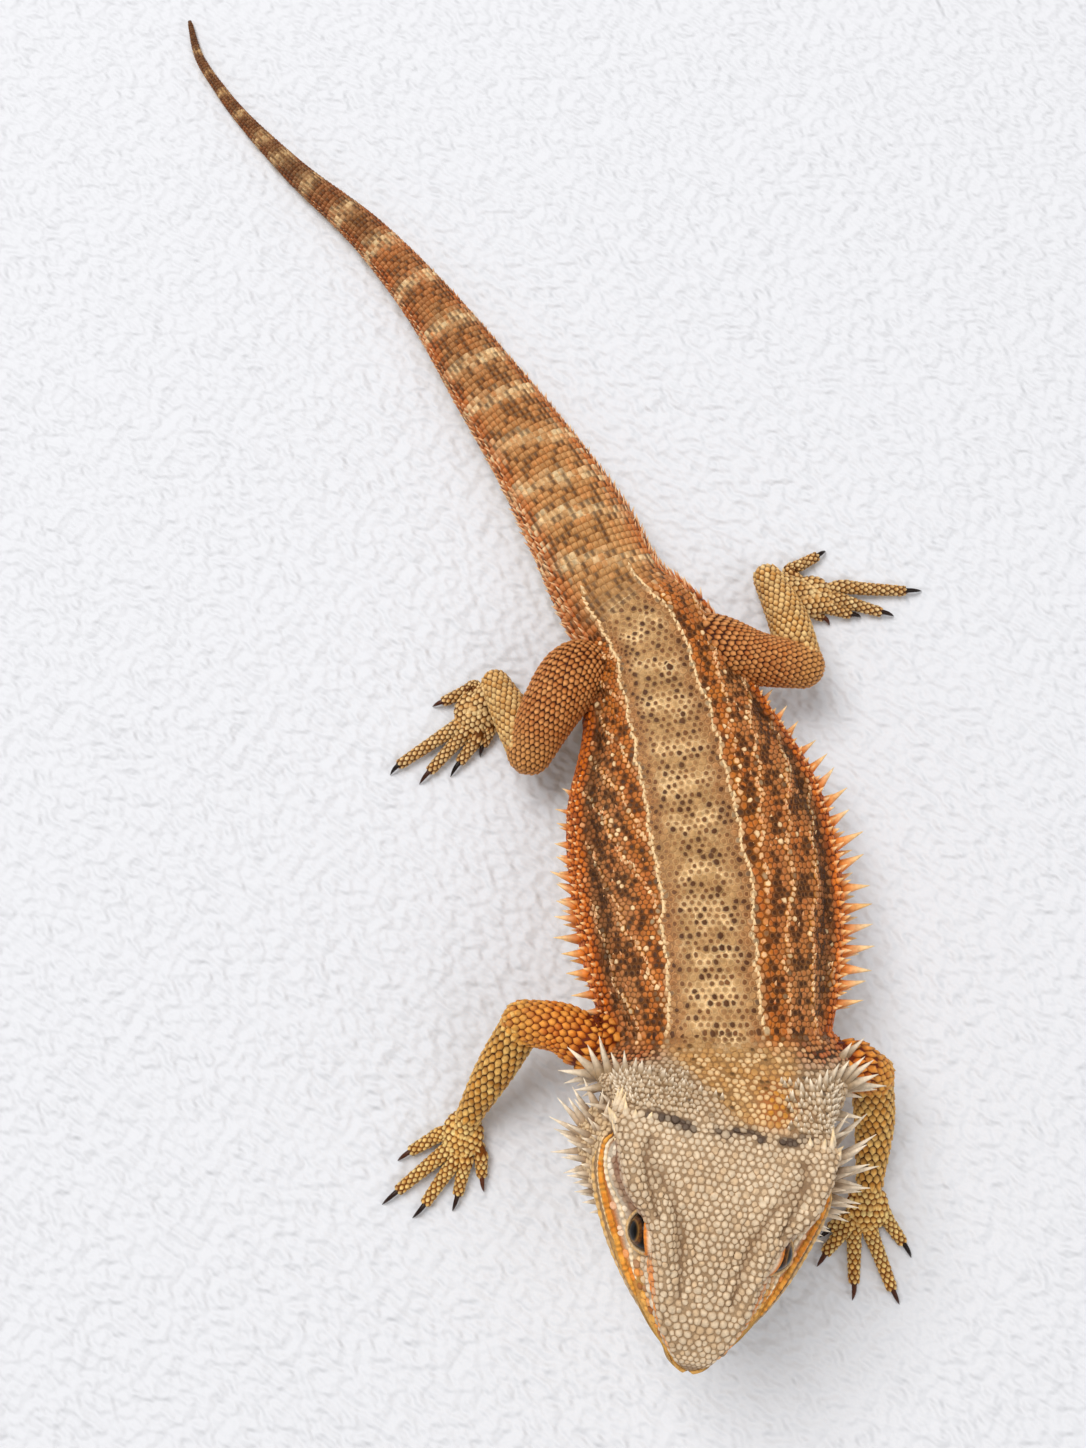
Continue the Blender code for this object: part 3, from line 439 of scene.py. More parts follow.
# Lines over the head as (distance from the snout, turn as a share of a half circle), each with its
# half width and its height in millimetres
headStrokes = [
    ([(19, 0.145), (28, 0.140), (36, 0.138), (43, 0.150), (50, 0.178)], 1.5, -1.2),
    ([(20, 0.230), (28, 0.212), (36, 0.190), (43, 0.176)], 1.8, 0.9),
    ([(20, 0.035), (42, 0.035)], 0.7, -0.4),
    ([(23, 0.088), (44, 0.078)], 0.7, -0.4),
    ([(24, 0), (46, 0)], 0.9, 0.25),
    ([(38, 0.232), (44, 0.208), (50, 0.205), (57, 0.19)], 1.0, -1.6),
    ([(41.5, 0.264), (50, 0.250), (58, 0.272), (64.4, 0.36)], 2.2, 1.8),
    ([(37.5, 0.345), (43, 0.333), (50, 0.342), (55.5, 0.378), (60, 0.46), (63, 0.55), (69, 0.60)], 1.7, -1.9),
]
headArc = 78.0  # length of a half circle's turn at the head's side, for the strokes' widths
gapeTurn = ([0, 6, 12, 20, 54, 66], [0.47, 0.452, 0.442, 0.436, 0.436, 0.44])
gapeEnd = 52.0
# Length of the half circle round from the crown to the throat, by distance from the snout
halfRing = ([0, 1, 3, 6, 12, 20, 30, 40, 50, 66], [1.5, 8, 13, 19, 31, 44, 57, 68, 76, 78])
hollowLine = [(35, 0.338), (43, 0.325), (53, 0.34)]
slitLine = [(54, 0.37), (60, 0.46), (66, 0.57)]
hollowWidth = 3.3
slitWidth = 2.6


def strokes(u, v, line, width):
    # 1 on a bent line, falling as a bell curve with the distance from it
    line = np.array(line, float)
    nearest = np.full(np.broadcast(u, v).shape, 1e9)
    for first, second in zip(line[:-1], line[1:]):
        way = second - first
        t = np.clip(((u - first[0]) * way[0] + (v - first[1]) * way[1]) / (way @ way), 0, 1)
        nearest = np.minimum(nearest, (u - first[0] - t * way[0]) ** 2 + (v - first[1] - t * way[1]) ** 2)
    return np.exp(-nearest / width**2)


def skullEdge(x):
    # Where the skull cap ends, as a distance from the snout
    return 61.8 + 0.9 * np.sin(x / 3.6 + 0.6) + 0.004 * x**2


def headLine(fromSnout, t, line, width):
    # The same over the head, where places are (distance from the snout, turn share)
    return strokes(fromSnout, t * headArc, [(at, share * headArc) for at, share in line], width)


def headRelief(fromSnout, turn):
    # The heights of all strokes added up
    t = folded(turn)[0] / np.pi
    return sum(height * headLine(fromSnout, t, line, width) for line, width, height in headStrokes)


# Markings: each returns the colour of a scale's middle and rim and of the skin between scales

shades = {
    "cream": tone(252, 222, 172), "paleTan": tone(236, 198, 146), "tan": tone(204, 160, 106),
    "khaki": tone(184, 142, 88), "olive": tone(128, 92, 52), "rust": tone(188, 96, 34),
    "deepRust": tone(124, 58, 20), "orange": tone(220, 118, 28), "brightOrange": tone(240, 130, 18),
    "amber": tone(212, 140, 44), "darkBrown": tone(76, 38, 8), "umber": tone(50, 24, 3),
    "headPale": tone(230, 208, 178), "headMid": tone(206, 178, 144), "headGap": tone(146, 116, 84),
    # The second shade on the next line is the pinkish brown painted shadow in the hollow behind the eye
    "beige": tone(214, 186, 148), "hollowShade": tone(140, 92, 70), "lipCream": tone(255, 238, 212),
    "lipOrange": tone(240, 134, 26), "lipYellow": tone(244, 186, 84), "yellow": tone(240, 194, 108),
    "armTan": tone(226, 172, 94), "shankTan": tone(230, 180, 116), "gapBrown": tone(94, 52, 14),
    "belly": tone(236, 216, 180), "bellyGap": tone(184, 156, 118), "armGap": tone(128, 52, 6),
    "ash": tone(152, 122, 86), "dotBrown": tone(128, 80, 40),
}

bodyMarks = {
    "midShift": ([0, 95, 130, 170, 430], [-3.2, -3.4, -3.2, -0.5, 0]),
    "lineWidth": ([0, 60, 85, 100, 115, 132, 145, 175], [13.2, 13.2, 12.9, 12.2, 11.2, 10.2, 8.9, 7.0]),
    "patches": [1.4, 11.5, 21.5, 33.8, 46.1, 62.3, 75.7, 88.0, 100.5, 114.0, 128.0, 139.0],
    "bands": [156, 174, 188, 206, 225, 241, 259, 280, 299, 319, 336, 351, 362, 375, 387, 398, 408],
    "bandWidth": ([150, 300, 350, 400], [1.9, 2.9, 2.5, 1.4]),
    "strandSpacing": 8.2, "strandDrift": (0.34, 0.16),  # on the animal's right and left
}


def lineAway(along, side):
    # How far a pale line lies from the painted midline, with its own small bends
    bends = mottle(9.0 * side + 0 * along, along, 4.5, 6) + 0.6 * mottle(9.0 * side + 0 * along, along, 1.9, 8)
    return np.interp(along, *bodyMarks["lineWidth"]) + 1.5 * (bends - 0.8)


def bodyPlace(along, turn):
    # Where a place lies on the back: the distance from the painted midline, the same as a share of
    # the way to the pale line, the length round from the top, and the phase between two pale strands
    points = bodyPoints(along, turn)
    row = hermite(stationAt, trunk["stations"], along)
    fold, side = folded(turn)
    lat = side * np.hypot(points[..., 0] - row[..., 0], points[..., 1] - row[..., 1])
    away = lat - np.interp(along, *bodyMarks["midShift"])
    width = lineAway(along, side)
    arc = side * fold * row[..., 2]
    drift = np.where(side < 0, *bodyMarks["strandDrift"])
    wobble = 5.0 * (mottle(arc, along, 15, 3) - 0.5) + 1.6 * (mottle(arc, along, 5, 5) - 0.5)
    strand = (np.abs(away) - width - drift * along + wobble) / bodyMarks["strandSpacing"]
    return fold, side, lat, away, width, arc, strand - np.floor(strand)


def bodyMarkings(along, turn, luck):
    # Back band, flanks, fringe, tail, pale lines and underside, each laid over the ones before by a
    # share from its place. The luck, 0 to 1, picks dark and pale scales
    fold, _, lat, away, width, arc, strand = bodyPlace(along, turn)
    share = np.abs(away) / width
    cloud = mottle(arc, along, 8.0, 1)
    fine = mottle(arc, along, 2.6, 2)
    second = np.mod(luck * 7.31, 1)
    onTail = ramp(along, 132, 156)
    # Back band: tan ground, pale cross patches, brown toward the lines
    ground = mix(shades["khaki"], shades["tan"], 0.3 + 0.7 * cloud)
    astray = along + 0.1 * away + 7.0 * (cloud - 0.5) + 3.0 * (fine - 0.5)
    patch = sum(bump(astray, at, 2.6) for at in bodyMarks["patches"])
    patch = np.clip(patch, 0, 1) * ramp(share, 0.9, 0.35) * np.clip(1.5 * fine + 0.2, 0, 1) * (1 - onTail)
    ground = mix(ground, shades["cream"], 0.1 * patch)
    edge = ramp(share, 0.45, 0.9) * (1 - 0.8 * patch)
    ground = mix(ground, mix(shades["rust"], shades["khaki"], 0.25 + 0.6 * cloud), 0.75 * edge)
    middle = mix(ground, shades["dotBrown"], 0.6 + 0.4 * second)
    middle = mix(middle, shades["darkBrown"], 0.3 * (second > 0.6))
    rim = mix(ground, shades["cream"], 0.2 + 0.7 * patch)
    gap = mix(ground, shades["cream"], 0.12 + 0.72 * patch)
    gap = mix(gap, shades["gapBrown"], 0.2 + 0.3 * edge - 0.2 * patch)
    dotted = luck < 0.24
    plain = luck > 0.86
    middle = mix(middle, shades["darkBrown"], 0.86 * dotted)
    middle = mix(middle, ground, 0.75 * plain)
    rim = mix(rim, shades["olive"], 0.3 * dotted * (1 - patch))
    # Flanks: a rusty strip beside the line, then ashy ground with black-brown scales between
    # thin orange and cream strands
    out = ramp(share, 1.0, 1.1) * (1 - onTail)
    far = ramp(np.abs(away) - width, 4.0, 10.0)
    near = mix(mix(shades["rust"], shades["deepRust"], 0.7 * cloud), shades["amber"], 0.35 * fine)
    wide = mix(shades["ash"], mix(shades["rust"], shades["olive"], 0.5 * fine), 0.25 + 0.6 * cloud)
    flank = mix(near, wide, 0.75 * far)
    darkZone = bump(strand, 0.33, 0.17)
    blackish = (luck < 0.2 + 0.42 * darkZone * far + 0.2 * darkZone * (1 - far)) & (share > 1.0)
    flankMiddle = mix(flank, shades["orange"], 0.1 + 0.25 * second)
    flankMiddle = mix(flankMiddle, shades["umber"], 0.92 * blackish)
    flankRim = mix(mix(flank, shades["tan"], 0.3), shades["umber"], 0.5 * blackish)
    flankGap = mix(mix(flank, shades["gapBrown"], 0.6), shades["umber"], 0.4 * darkZone)
    pale = np.maximum(bump(strand, 0.86, 0.085), 0) * (0.45 + 0.7 * fine)
    strandTone = mix(shades["orange"], shades["cream"], np.clip(0.25 + 0.75 * second, 0, 1))
    flankMiddle = mix(flankMiddle, strandTone, np.clip(1.1 * pale, 0, 1))
    flankRim = mix(flankRim, shades["amber"], np.clip(0.8 * pale, 0, 1))
    speck = (luck > 0.97) & (share > 1.0)
    flankMiddle = mix(flankMiddle, shades["cream"], 0.85 * speck)
    flankRim = mix(flankRim, shades["paleTan"], 0.5 * speck)
    middle, rim, gap = layered((middle, rim, gap), (flankMiddle, flankRim, flankGap), out)
    # The dark crease inside the fringe, and the fringe's own orange scales
    turnShare = fold / np.pi
    crease = bump(turnShare, 0.385, 0.028) * ramp(along, 4, 14) * ramp(along, 120, 100)
    middle, rim, gap = washed((middle, rim, gap), shades["umber"], 0.75 * crease * (0.5 + 0.5 * fine))
    fringe = ramp(turnShare, 0.40, 0.425) * ramp(turnShare, 0.56, 0.52) * (1 - onTail)
    middle = mix(middle, mix(tone(234, 122, 20), tone(160, 70, 16), 0.85 * second), 0.92 * fringe)
    rim = mix(rim, mix(shades["rust"], shades["deepRust"], second), 0.9 * fringe)
    gap = mix(gap, mix(shades["deepRust"], shades["umber"], 0.5), 0.9 * fringe)
    # Tail: tan in the middle, rust at the sides, cream cross bands, browner to the tip
    sides = ramp(fold, 0.2 * np.pi, 0.34 * np.pi)
    redness = np.interp(along, [150, 215, 270], [0.08, 0.26, 0.4]) + 0.5 * sides
    reddish = mix(shades["rust"], shades["deepRust"], 0.3 * cloud)
    tail = mix(mix(shades["khaki"], shades["tan"], cloud), reddish, redness)
    tail = mix(tail, mix(shades["rust"], shades["olive"], cloud), 0.55 * ramp(along, 190, 290))
    slant = np.interp(along, [150, 190, 260], [0.36, 0.3, 0.1])
    bend = along + slant * lat + 4.0 * (fine - 0.5)
    tailBand = sum(bump(bend, at, np.interp(at, *bodyMarks["bandWidth"])) for at in bodyMarks["bands"])
    tailBand = np.clip(tailBand, 0, 1) * ramp(along, 440, 405) * (0.55 + 0.45 * (second > 0.25))
    between = np.clip(sum(bump(along, at + 8.5, 5.5) for at in bodyMarks["bands"][8:]), 0, 1)
    tail = mix(tail, shades["deepRust"], 0.45 * between * (1 - tailBand))
    tail = mix(tail, shades["darkBrown"], 0.7 * ramp(along, 290, 360) + 0.25 * ramp(along, 396, 410))
    tail = tail * np.interp(along, [180, 260, 340], [1.3, 1.1, 1.15])[..., None] * np.array([1.06, 0.97, 0.86])
    tailMiddle = mix(tail, shades["darkBrown"], 0.3 + 0.65 * (luck < 0.42))
    tailMiddle = mix(tailMiddle, shades["orange"], 0.3 * (luck > 0.85) * ramp(along, 330, 250))
    tailRim = mix(tail, mix(shades["paleTan"], shades["orange"], 0.8 * sides), 0.1 + 0.22 * (luck > 0.6))
    flake = (second > 0.86) * sides * ramp(along, 230, 190)
    tailMiddle = mix(tailMiddle, shades["cream"], 0.8 * flake)
    bandTone = mix(shades["cream"], shades["tan"], 0.75 * ramp(along, 280, 390))
    tailMiddle = mix(tailMiddle, bandTone, tailBand * (0.08 + 0.55 * (second > 0.72)))
    tailRim = mix(tailRim, bandTone, tailBand)
    tailGap = mix(mix(tail, shades["gapBrown"], 0.7), bandTone, 0.75 * tailBand)
    middle, rim, gap = layered((middle, rim, gap), (tailMiddle, tailRim, tailGap), onTail)
    # Pale lines over the bead rows
    line = bump(np.abs(away), width, 0.8) * ramp(along, 154, 142)
    middle = mix(middle, shades["cream"], 0.4 * line)
    rim = mix(rim, shades["paleTan"], 0.3 * line)
    # Underside
    under = ramp(fold, 0.56 * np.pi, 0.68 * np.pi)
    belly = mix(shades["belly"], shades["tan"], 0.3 * cloud + 0.25 * (luck < 0.2))
    return layered((middle, rim, gap), (belly, belly * 0.92, shades["bellyGap"]), under)


def headMarkings(fromSnout, turn, luck):
    # Pebble tones, then painted shade in the valleys, painted shadow at the skull cap's back edge and in
    # the hollow and slit behind the eye, snout with painted shade at its tip, jaw, lips, mouth line and nostrils,
    # each laid over by a share from its place
    local = headLocal(fromSnout, turn)
    x, z = np.abs(local[..., 0]), local[..., 2]
    t = folded(turn)[0] / np.pi
    fine = mottle(local[..., 0], fromSnout + z, 3.0, 11)
    cloud = mottle(local[..., 0], fromSnout + z, 9.0, 12)
    base = mix(shades["headMid"], shades["headPale"], 0.25 + 0.5 * cloud)
    greyer = np.clip(0.55 * ramp(fromSnout, 26, 8) + 0.4 * ramp(t, 0.2, 0.3), 0, 1)
    base = mix(base, shades["ash"], greyer * (0.8 - 0.4 * cloud))
    middle = mix(base, shades["headPale"], 0.25 + 0.55 * fine)
    middle = mix(middle, shades["tan"], 0.4 * (luck < 0.16))
    rim = mix(base, shades["headGap"], 0.1)
    gap = mix(shades["headGap"], shades["headMid"], 0.2 + 0.2 * cloud)
    # Painted shade: grey-brown in the valleys and wrinkles, deeper where the relief sinks
    low = np.clip(-headRelief(fromSnout, turn) / 1.3, 0, 1)
    middle, rim = washed((middle, rim), shades["headGap"], 0.5 * low)
    gap = mix(gap, shades["gapBrown"], 0.4 * low)
    # Painted shadow under the overhang at the back of the skull cap: a broken dark line
    broken = ramp(mottle(local[..., 0], 0 * x, 4.0, 13), 0.3, 0.45)
    edge = skullEdge(local[..., 0]) + 0.2 + 2.4 * (mottle(local[..., 0], 0 * x, 1.7, 14) - 0.5)
    nape = np.clip(1.3 * bump(fromSnout, edge, 1.25 + 0.5 * cloud), 0, 1) * broken * ramp(t, 0.26, 0.2)
    nape = nape * (0.35 + 0.65 * (luck > 0.35))
    middle, rim, gap = washed((middle, rim, gap), tone(74, 56, 48), 0.9 * nape)
    # Painted shadow behind the eye: pinkish brown in the hollow under the temple ridge, running back into a dark slit
    # along the groove
    hollow = headLine(fromSnout, t, hollowLine, hollowWidth) * (0.75 + 0.5 * fine)
    slitShade = headLine(fromSnout, t, slitLine, slitWidth)
    middle, rim, gap = washed((middle, rim, gap), shades["hollowShade"], 0.85 * hollow)
    middle, rim, gap = washed((middle, rim, gap), shades["gapBrown"], 0.7 * slitShade)
    # Lips: an orange stripe under a cream strip at the back, yellow dotted scales in front
    rear = ramp(fromSnout, 20, 28) * ramp(fromSnout, 57, 53)
    front = ramp(fromSnout, 30, 22)
    creamStrip = ramp(t, 0.366, 0.376) * ramp(t, 0.404, 0.398) * rear
    orangeStrip = ramp(t, 0.396, 0.402) * ramp(t, 0.432, 0.426)
    orangeStrip = orangeStrip * ramp(fromSnout, 58, 52) * ramp(fromSnout, 12, 24)
    dotted = ramp(t, 0.345, 0.357) * ramp(t, 0.44, 0.434) * front
    dots = mix(shades["lipYellow"], shades["lipOrange"], 0.5 * (luck < 0.5) + 0.4 * cloud)
    dots = mix(dots, shades["deepRust"], 0.75 * (luck < 0.28))
    canthusAt = np.interp(fromSnout, [3, 10, 17, 27], [0.24, 0.303, 0.306, 0.30])
    canthus = bump(t, canthusAt, 0.009) * ramp(fromSnout, 2, 6) * ramp(fromSnout, 30, 26)
    # Painted shade round the snout's tip and under the front of the upper lip, with the lip's own thin brown rim
    tipRimAndShade = ramp(fromSnout, 2.6, 1.0) + bump(t, 0.43, 0.012) * ramp(fromSnout, 9, 4)
    loreal = ramp(t, canthusAt + 0.008, canthusAt + 0.02) * ramp(t, 0.357, 0.345) * front
    lorealTone = mix(shades["ash"], shades["lipCream"], 0.35 + 0.5 * fine)
    middle, rim, gap = layered((middle, rim, gap), (lorealTone, lorealTone * 0.9, lorealTone * 0.7), 0.7 * loreal)
    below = np.interp(fromSnout, *gapeTurn)
    jaw = ramp(t, below - 0.002, below + 0.006)
    jawTone = mix(shades["beige"], shades["lipYellow"], 0.6 * front)
    jawLayers = (mix(jawTone, shades["cream"], 0.3 * fine), jawTone, mix(shades["headGap"], shades["bellyGap"], 0.5))
    middle, rim, gap = layered((middle, rim, gap), jawLayers, jaw)
    for strip, colour, amount in ((creamStrip, shades["lipCream"], 0.95), (dotted, dots, 0.9),
                                  (orangeStrip, shades["lipOrange"], 0.95), (canthus, shades["lipOrange"], 0.7),
                                  (np.clip(tipRimAndShade, 0, 1), tone(150, 112, 74), 0.7)):
        middle = mix(middle, colour, amount * strip)
        rim = mix(rim, colour * 0.9, amount * strip)
        gap = mix(gap, colour * 0.62, 0.85 * amount * strip)
    lipBand = bump((t - below) * np.interp(fromSnout, *halfRing), 0.2, 1.5) * ramp(fromSnout, 34, 26)
    lipTone = mix(shades["lipYellow"], shades["tan"], 0.3 + 0.5 * cloud)
    middle, rim, gap = washed((middle, rim, gap), lipTone, 0.8 * lipBand)
    line = bump(t, below, 0.004) * ramp(fromSnout, gapeEnd + 1, gapeEnd - 3)
    middle, rim, gap = (mix(colour, shades["gapBrown"], share * line)
                        for colour, share in ((middle, 0.1), (rim, 0.25), (gap, 0.85)))
    nostril = np.exp(-((x - 7.2) / 1.5) ** 2 - ((fromSnout - 7.4) / 1.5) ** 2 - ((z - 6.2) / 1.5) ** 2)
    return washed((middle, rim, gap), shades["gapBrown"], nostril)


def neckMarkings(share, turn, luck):
    # Head tones, then the yellow nape, an amber patch, painted shadow behind the collar and the underside
    points = neckPoints(share, turn)
    fold, side = folded(turn)
    fine = mottle(points[..., 0], points[..., 1], 3.0, 21)
    cloud = mottle(points[..., 0], points[..., 1], 7.0, 22)
    base = mix(shades["headMid"], shades["ash"], 0.45 + 0.4 * cloud)
    middle = mix(base, shades["headPale"], 0.3 + 0.5 * fine)
    # The nape is yellow-tan, and reaches farther forward on the animal's left
    wrapped = side * fold / np.pi
    reach = np.interp(share, [0.0, 0.3, 0.6, 1.0], [0.075, 0.12, 0.19, 0.3])
    napeMiddle = np.interp(share, [0, 0.5, 1], [0.085, 0.04, 0.0])
    napeShare = ramp(np.abs(wrapped - napeMiddle), reach + 0.02, reach - 0.03)
    nape = mix(mix(shades["tan"], shades["khaki"], fine), shades["amber"], 0.35 * cloud)
    middle = mix(middle, mix(nape, shades["cream"], 0.6 * (luck > 0.5)), napeShare)
    rim = mix(mix(base, nape, napeShare), shades["paleTan"], 0.15)
    gap = mix(rim, shades["gapBrown"], 0.5)
    x, y = points[..., 0], points[..., 1]
    amber = np.exp(-((x - 63 + 3 * (cloud - 0.5)) / 5.2) ** 2 - ((y + 119.5) / 5.4) ** 2)
    amber = np.clip(1.6 * amber * (0.6 + 0.7 * fine), 0, 1)
    middle = mix(middle, mix(shades["amber"], shades["paleTan"], 0.8 * (luck > 0.5)), 0.9 * amber)
    rim = mix(rim, mix(shades["amber"], shades["khaki"], 0.5 + 0.4 * cloud), 0.8 * amber)
    gap = mix(gap, shades["rust"], 0.5 * amber)
    # Painted shadow behind the collar's spines: dark brown gaps and rims round ginger scale middles
    behind = ramp(fold, 0.17 * np.pi, 0.28 * np.pi) * ramp(fold, 0.72 * np.pi, 0.6 * np.pi)
    collarShadow = np.clip(bump(share, 0.78, 0.14) * behind * (0.5 + cloud), 0, 0.9)
    ginger = mix(shades["rust"], shades["tan"], 0.9 * fine * (luck > 0.4))
    middle, rim, gap = layered((middle, rim, gap), (ginger, shades["deepRust"], shades["umber"]), collarShadow)
    dots = (luck < 0.05) * (fold < 0.45 * np.pi)
    middle = mix(middle, shades["umber"], 0.8 * dots)
    under = ramp(fold, 0.66 * np.pi, 0.78 * np.pi)
    belly = mix(shades["belly"], shades["headPale"], 0.5 * cloud)
    return layered((middle, rim, gap), (belly, belly * 0.9, shades["bellyGap"]), under)


def dragonMarkings(row, turn, luck):
    # The markings of head, neck and body, faded into each other over a few millimetres
    row, turn, luck = np.broadcast_arrays(np.asarray(row, float), turn, luck)
    onHead = headMarkings(np.clip(row, 0.2, head["length"]), turn, luck)
    onNeck = neckMarkings(np.clip((row - head["length"]) / neckLength, 0, 1), turn, luck)
    onBody = bodyMarkings(np.clip(row - bodyStart, 0, stationAt[-1]), turn, luck)
    toNeck = ramp(row + 1.5 * (luck - 0.5), head["length"] - 3, head["length"] + 1)
    toBody = ramp(row + 3 * (luck - 0.5), bodyStart - 7, bodyStart - 1)
    return layered(layered(onHead, onNeck, toNeck), onBody, toBody)


limbMarks = {
    # Colours of the middle of a scale, of its paler tip, partly painted highlight, and of the gap
    "fore": {"upper": ((224, 108, 6), (252, 172, 74), (104, 36, 0)),
             "lower": ((222, 142, 36), (255, 212, 128), (80, 40, 4)),
             "hand": ((248, 180, 82), (255, 230, 156), (124, 66, 8))},
    "hind": {"upper": ((180, 92, 26), (232, 164, 98), (66, 22, 0)),
             "lower": ((216, 152, 72), (254, 216, 148), (96, 50, 8)),
             "hand": ((228, 166, 88), (254, 224, 164), (104, 56, 8))},
}


def limbTones(limb, part):
    # The three colours of a part, where wrist, palm and digits share the hand's
    return [tone(*colour) for colour in limbMarks[limb[:4]][part if part in ("upper", "lower") else "hand"]]


def limbMarkings(limb, part, surface, row, turn, luck):
    # The part's own colours, varied by noise and luck, with bands on the lower limb and digits
    row, turn, luck = np.broadcast_arrays(np.asarray(row, float), turn, luck)
    main, tip, seam = limbTones(limb, part)
    points = surface(row, turn)
    fold = folded(turn)[0]
    fine = mottle(points[..., 0] + points[..., 2], points[..., 1], 2.5, 31)
    cloud = mottle(points[..., 0], points[..., 1] + points[..., 2], 8.0, 32)
    second = np.mod(luck * 7.31, 1)
    share = row / surface.length
    middle = mix(main, tip, np.clip(0.15 + 0.6 * fine * second + 0.35 * (luck > 0.7), 0, 1))
    if part == "upper" and limb.startswith("fore"):
        middle = mix(middle, tone(226, 170, 82), 0.85 * ramp(share, 0.66, 1.0))
        middle = mix(middle, shades["rust"], 0.5 * (luck < 0.25))
    if part == "upper" and limb.startswith("hind"):
        middle = mix(middle, tone(210, 122, 44), 0.4 * cloud)
        middle = mix(middle, tone(216, 156, 88), 0.75 * ramp(share, 0.78, 1.0))
    if part == "lower":
        middle = mix(middle, shades["amber"], 0.5 * (luck < 0.3))
        middle = mix(middle, shades["olive"], 0.3 * bump(np.mod(share * 3.1, 1), 0.5, 0.16))
    if part not in ("upper", "lower"):
        middle = mix(middle, shades["amber"], 0.45 * (luck < 0.25))
    if part.startswith("digit"):
        middle = mix(middle, shades["khaki"], 0.5 * bump(np.mod(row / 5.2, 1), 0.5, 0.2))
    rim = mix(middle, seam, 0.6)
    under = ramp(fold, 0.66 * np.pi, 0.8 * np.pi)
    middle = mix(middle, shades["paleTan"], 0.6 * under)
    rim = mix(rim, shades["tan"], 0.5 * under)
    return middle, rim, mix(seam, shades["bellyGap"], 0.6 * under)


# Materials

def newMaterial(name):
    material = bpy.data.materials.new(name)
    material.use_nodes = True
    return material, material.node_tree.nodes["Principled BSDF"]


def addNode(material, kind, **values):
    # A shader node with some inputs set. An underscore in a name stands for a space
    made = material.node_tree.nodes.new("ShaderNode" + kind)
    for name, value in values.items():
        made.inputs[name.replace("_", " ")].default_value = value
    return made


def wire(material, *links):
    # Each link is (node, output, node, input)
    for source, output, target, entry in links:
        material.node_tree.links.new(source.outputs[output], target.inputs[entry])


def coatMaterial(name, roughness, bumpScale, bumpStrength, speckle):
    # Colour from the painted attribute times noise, with fine grain in bump and roughness
    material, shader = newMaterial(name)
    shader.inputs["Specular IOR Level"].default_value = 0.2
    paint = addNode(material, "Attribute")
    paint.attribute_name = "marking"
    place = addNode(material, "TexCoord")
    grain = addNode(material, "TexNoise", Scale=speckle, Detail=4)
    spread = addNode(material, "MapRange", From_Min=0.3, From_Max=0.7, To_Min=0.78, To_Max=1.2)
    shaded = addNode(material, "Mix")
    shaded.data_type = "RGBA"
    shaded.blend_type = "MULTIPLY"
    shaded.inputs["Factor"].default_value = 1.0
    gloss = addNode(material, "MapRange", To_Min=roughness - 0.12, To_Max=roughness + 0.12)
    fine = addNode(material, "TexNoise", Scale=bumpScale, Detail=3)
    relief = addNode(material, "Bump", Strength=bumpStrength, Distance=0.0002)
    wire(material, (place, "Object", grain, "Vector"), (grain, "Fac", spread, "Value"),
         (paint, "Color", shaded, "A"), (spread, "Result", shaded, "B"), (shaded, "Result", shader, "Base Color"),
         (grain, "Fac", gloss, "Value"), (gloss, "Result", shader, "Roughness"),
         (place, "Object", fine, "Vector"), (fine, "Fac", relief, "Height"), (relief, "Normal", shader, "Normal"))
    return material


skinFinish = coatMaterial("skin", 0.62, 2600, 0.5, 1400)
scaleFinish = coatMaterial("scale", 0.5, 3200, 0.3, 900)
spineFinish = coatMaterial("spine", 0.45, 3000, 0.2, 700)


# Mesh makers

def putMesh(name, points, loops, starts, marking=None, places=None, material=None):
    # A mesh object from arrays: points, corner indices, where each face starts, colour per point
    mesh = bpy.data.meshes.new(name)
    mesh.vertices.add(len(points))
    mesh.vertices.foreach_set("co", toWorld(points).astype(np.float32).ravel())
    mesh.loops.add(len(loops))
    mesh.loops.foreach_set("vertex_index", loops.astype(np.int32))
    mesh.polygons.add(len(starts))
    mesh.polygons.foreach_set("loop_start", starts.astype(np.int32))
    mesh.polygons.foreach_set("use_smooth", np.ones(len(starts), bool))
    mesh.update(calc_edges=True)
    if marking is not None:
        layer = mesh.attributes.new("marking", "FLOAT_COLOR", "POINT")
        painted = np.column_stack([marking, np.ones(len(marking))])
        layer.data.foreach_set("color", painted.astype(np.float32).ravel())
    if places is not None:
        layer = mesh.uv_layers.new(name="OFBake")
        layer.uv.foreach_set("vector", places.astype(np.float32).ravel())
    if material:
        mesh.materials.append(material)
    made = bpy.data.objects.new(name, mesh)
    bpy.context.scene.collection.objects.link(made)
    return made


def gridFaces(rows, sides, offset=0):
    # Quads between closed rings, numbered so that they face outward
    i = np.arange(rows - 1)[:, None] * sides
    j = np.arange(sides)[None]
    k = (j + 1) % sides
    return np.stack([i + j, i + k, i + sides + k, i + sides + j], -1).reshape(-1, 4) + offset


def closedGrid(name, rings, marking, material):
    # Rings joined by quads, and each end closed by a fan of triangles round its middle
    rows, sides = rings.shape[:2]
    points = np.concatenate([rings.reshape(-1, 3), rings[0].mean(0)[None], rings[-1].mean(0)[None]])
    colours = np.concatenate([marking.reshape(-1, 3), marking[0].mean(0)[None], marking[-1].mean(0)[None]])
    quads = gridFaces(rows, sides)
    j = np.arange(sides)
    k = (j + 1) % sides
    last = (rows - 1) * sides
    fans = np.concatenate([np.stack([0 * j + rows * sides, k, j], -1),
                           np.stack([0 * j + rows * sides + 1, last + j, last + k], -1)])
    loops = np.concatenate([quads.ravel(), fans.ravel()])
    starts = np.concatenate([np.arange(len(quads)) * 4, len(quads) * 4 + np.arange(len(fans)) * 3])
    return putMesh(name, points, loops, starts, colours, None, material)


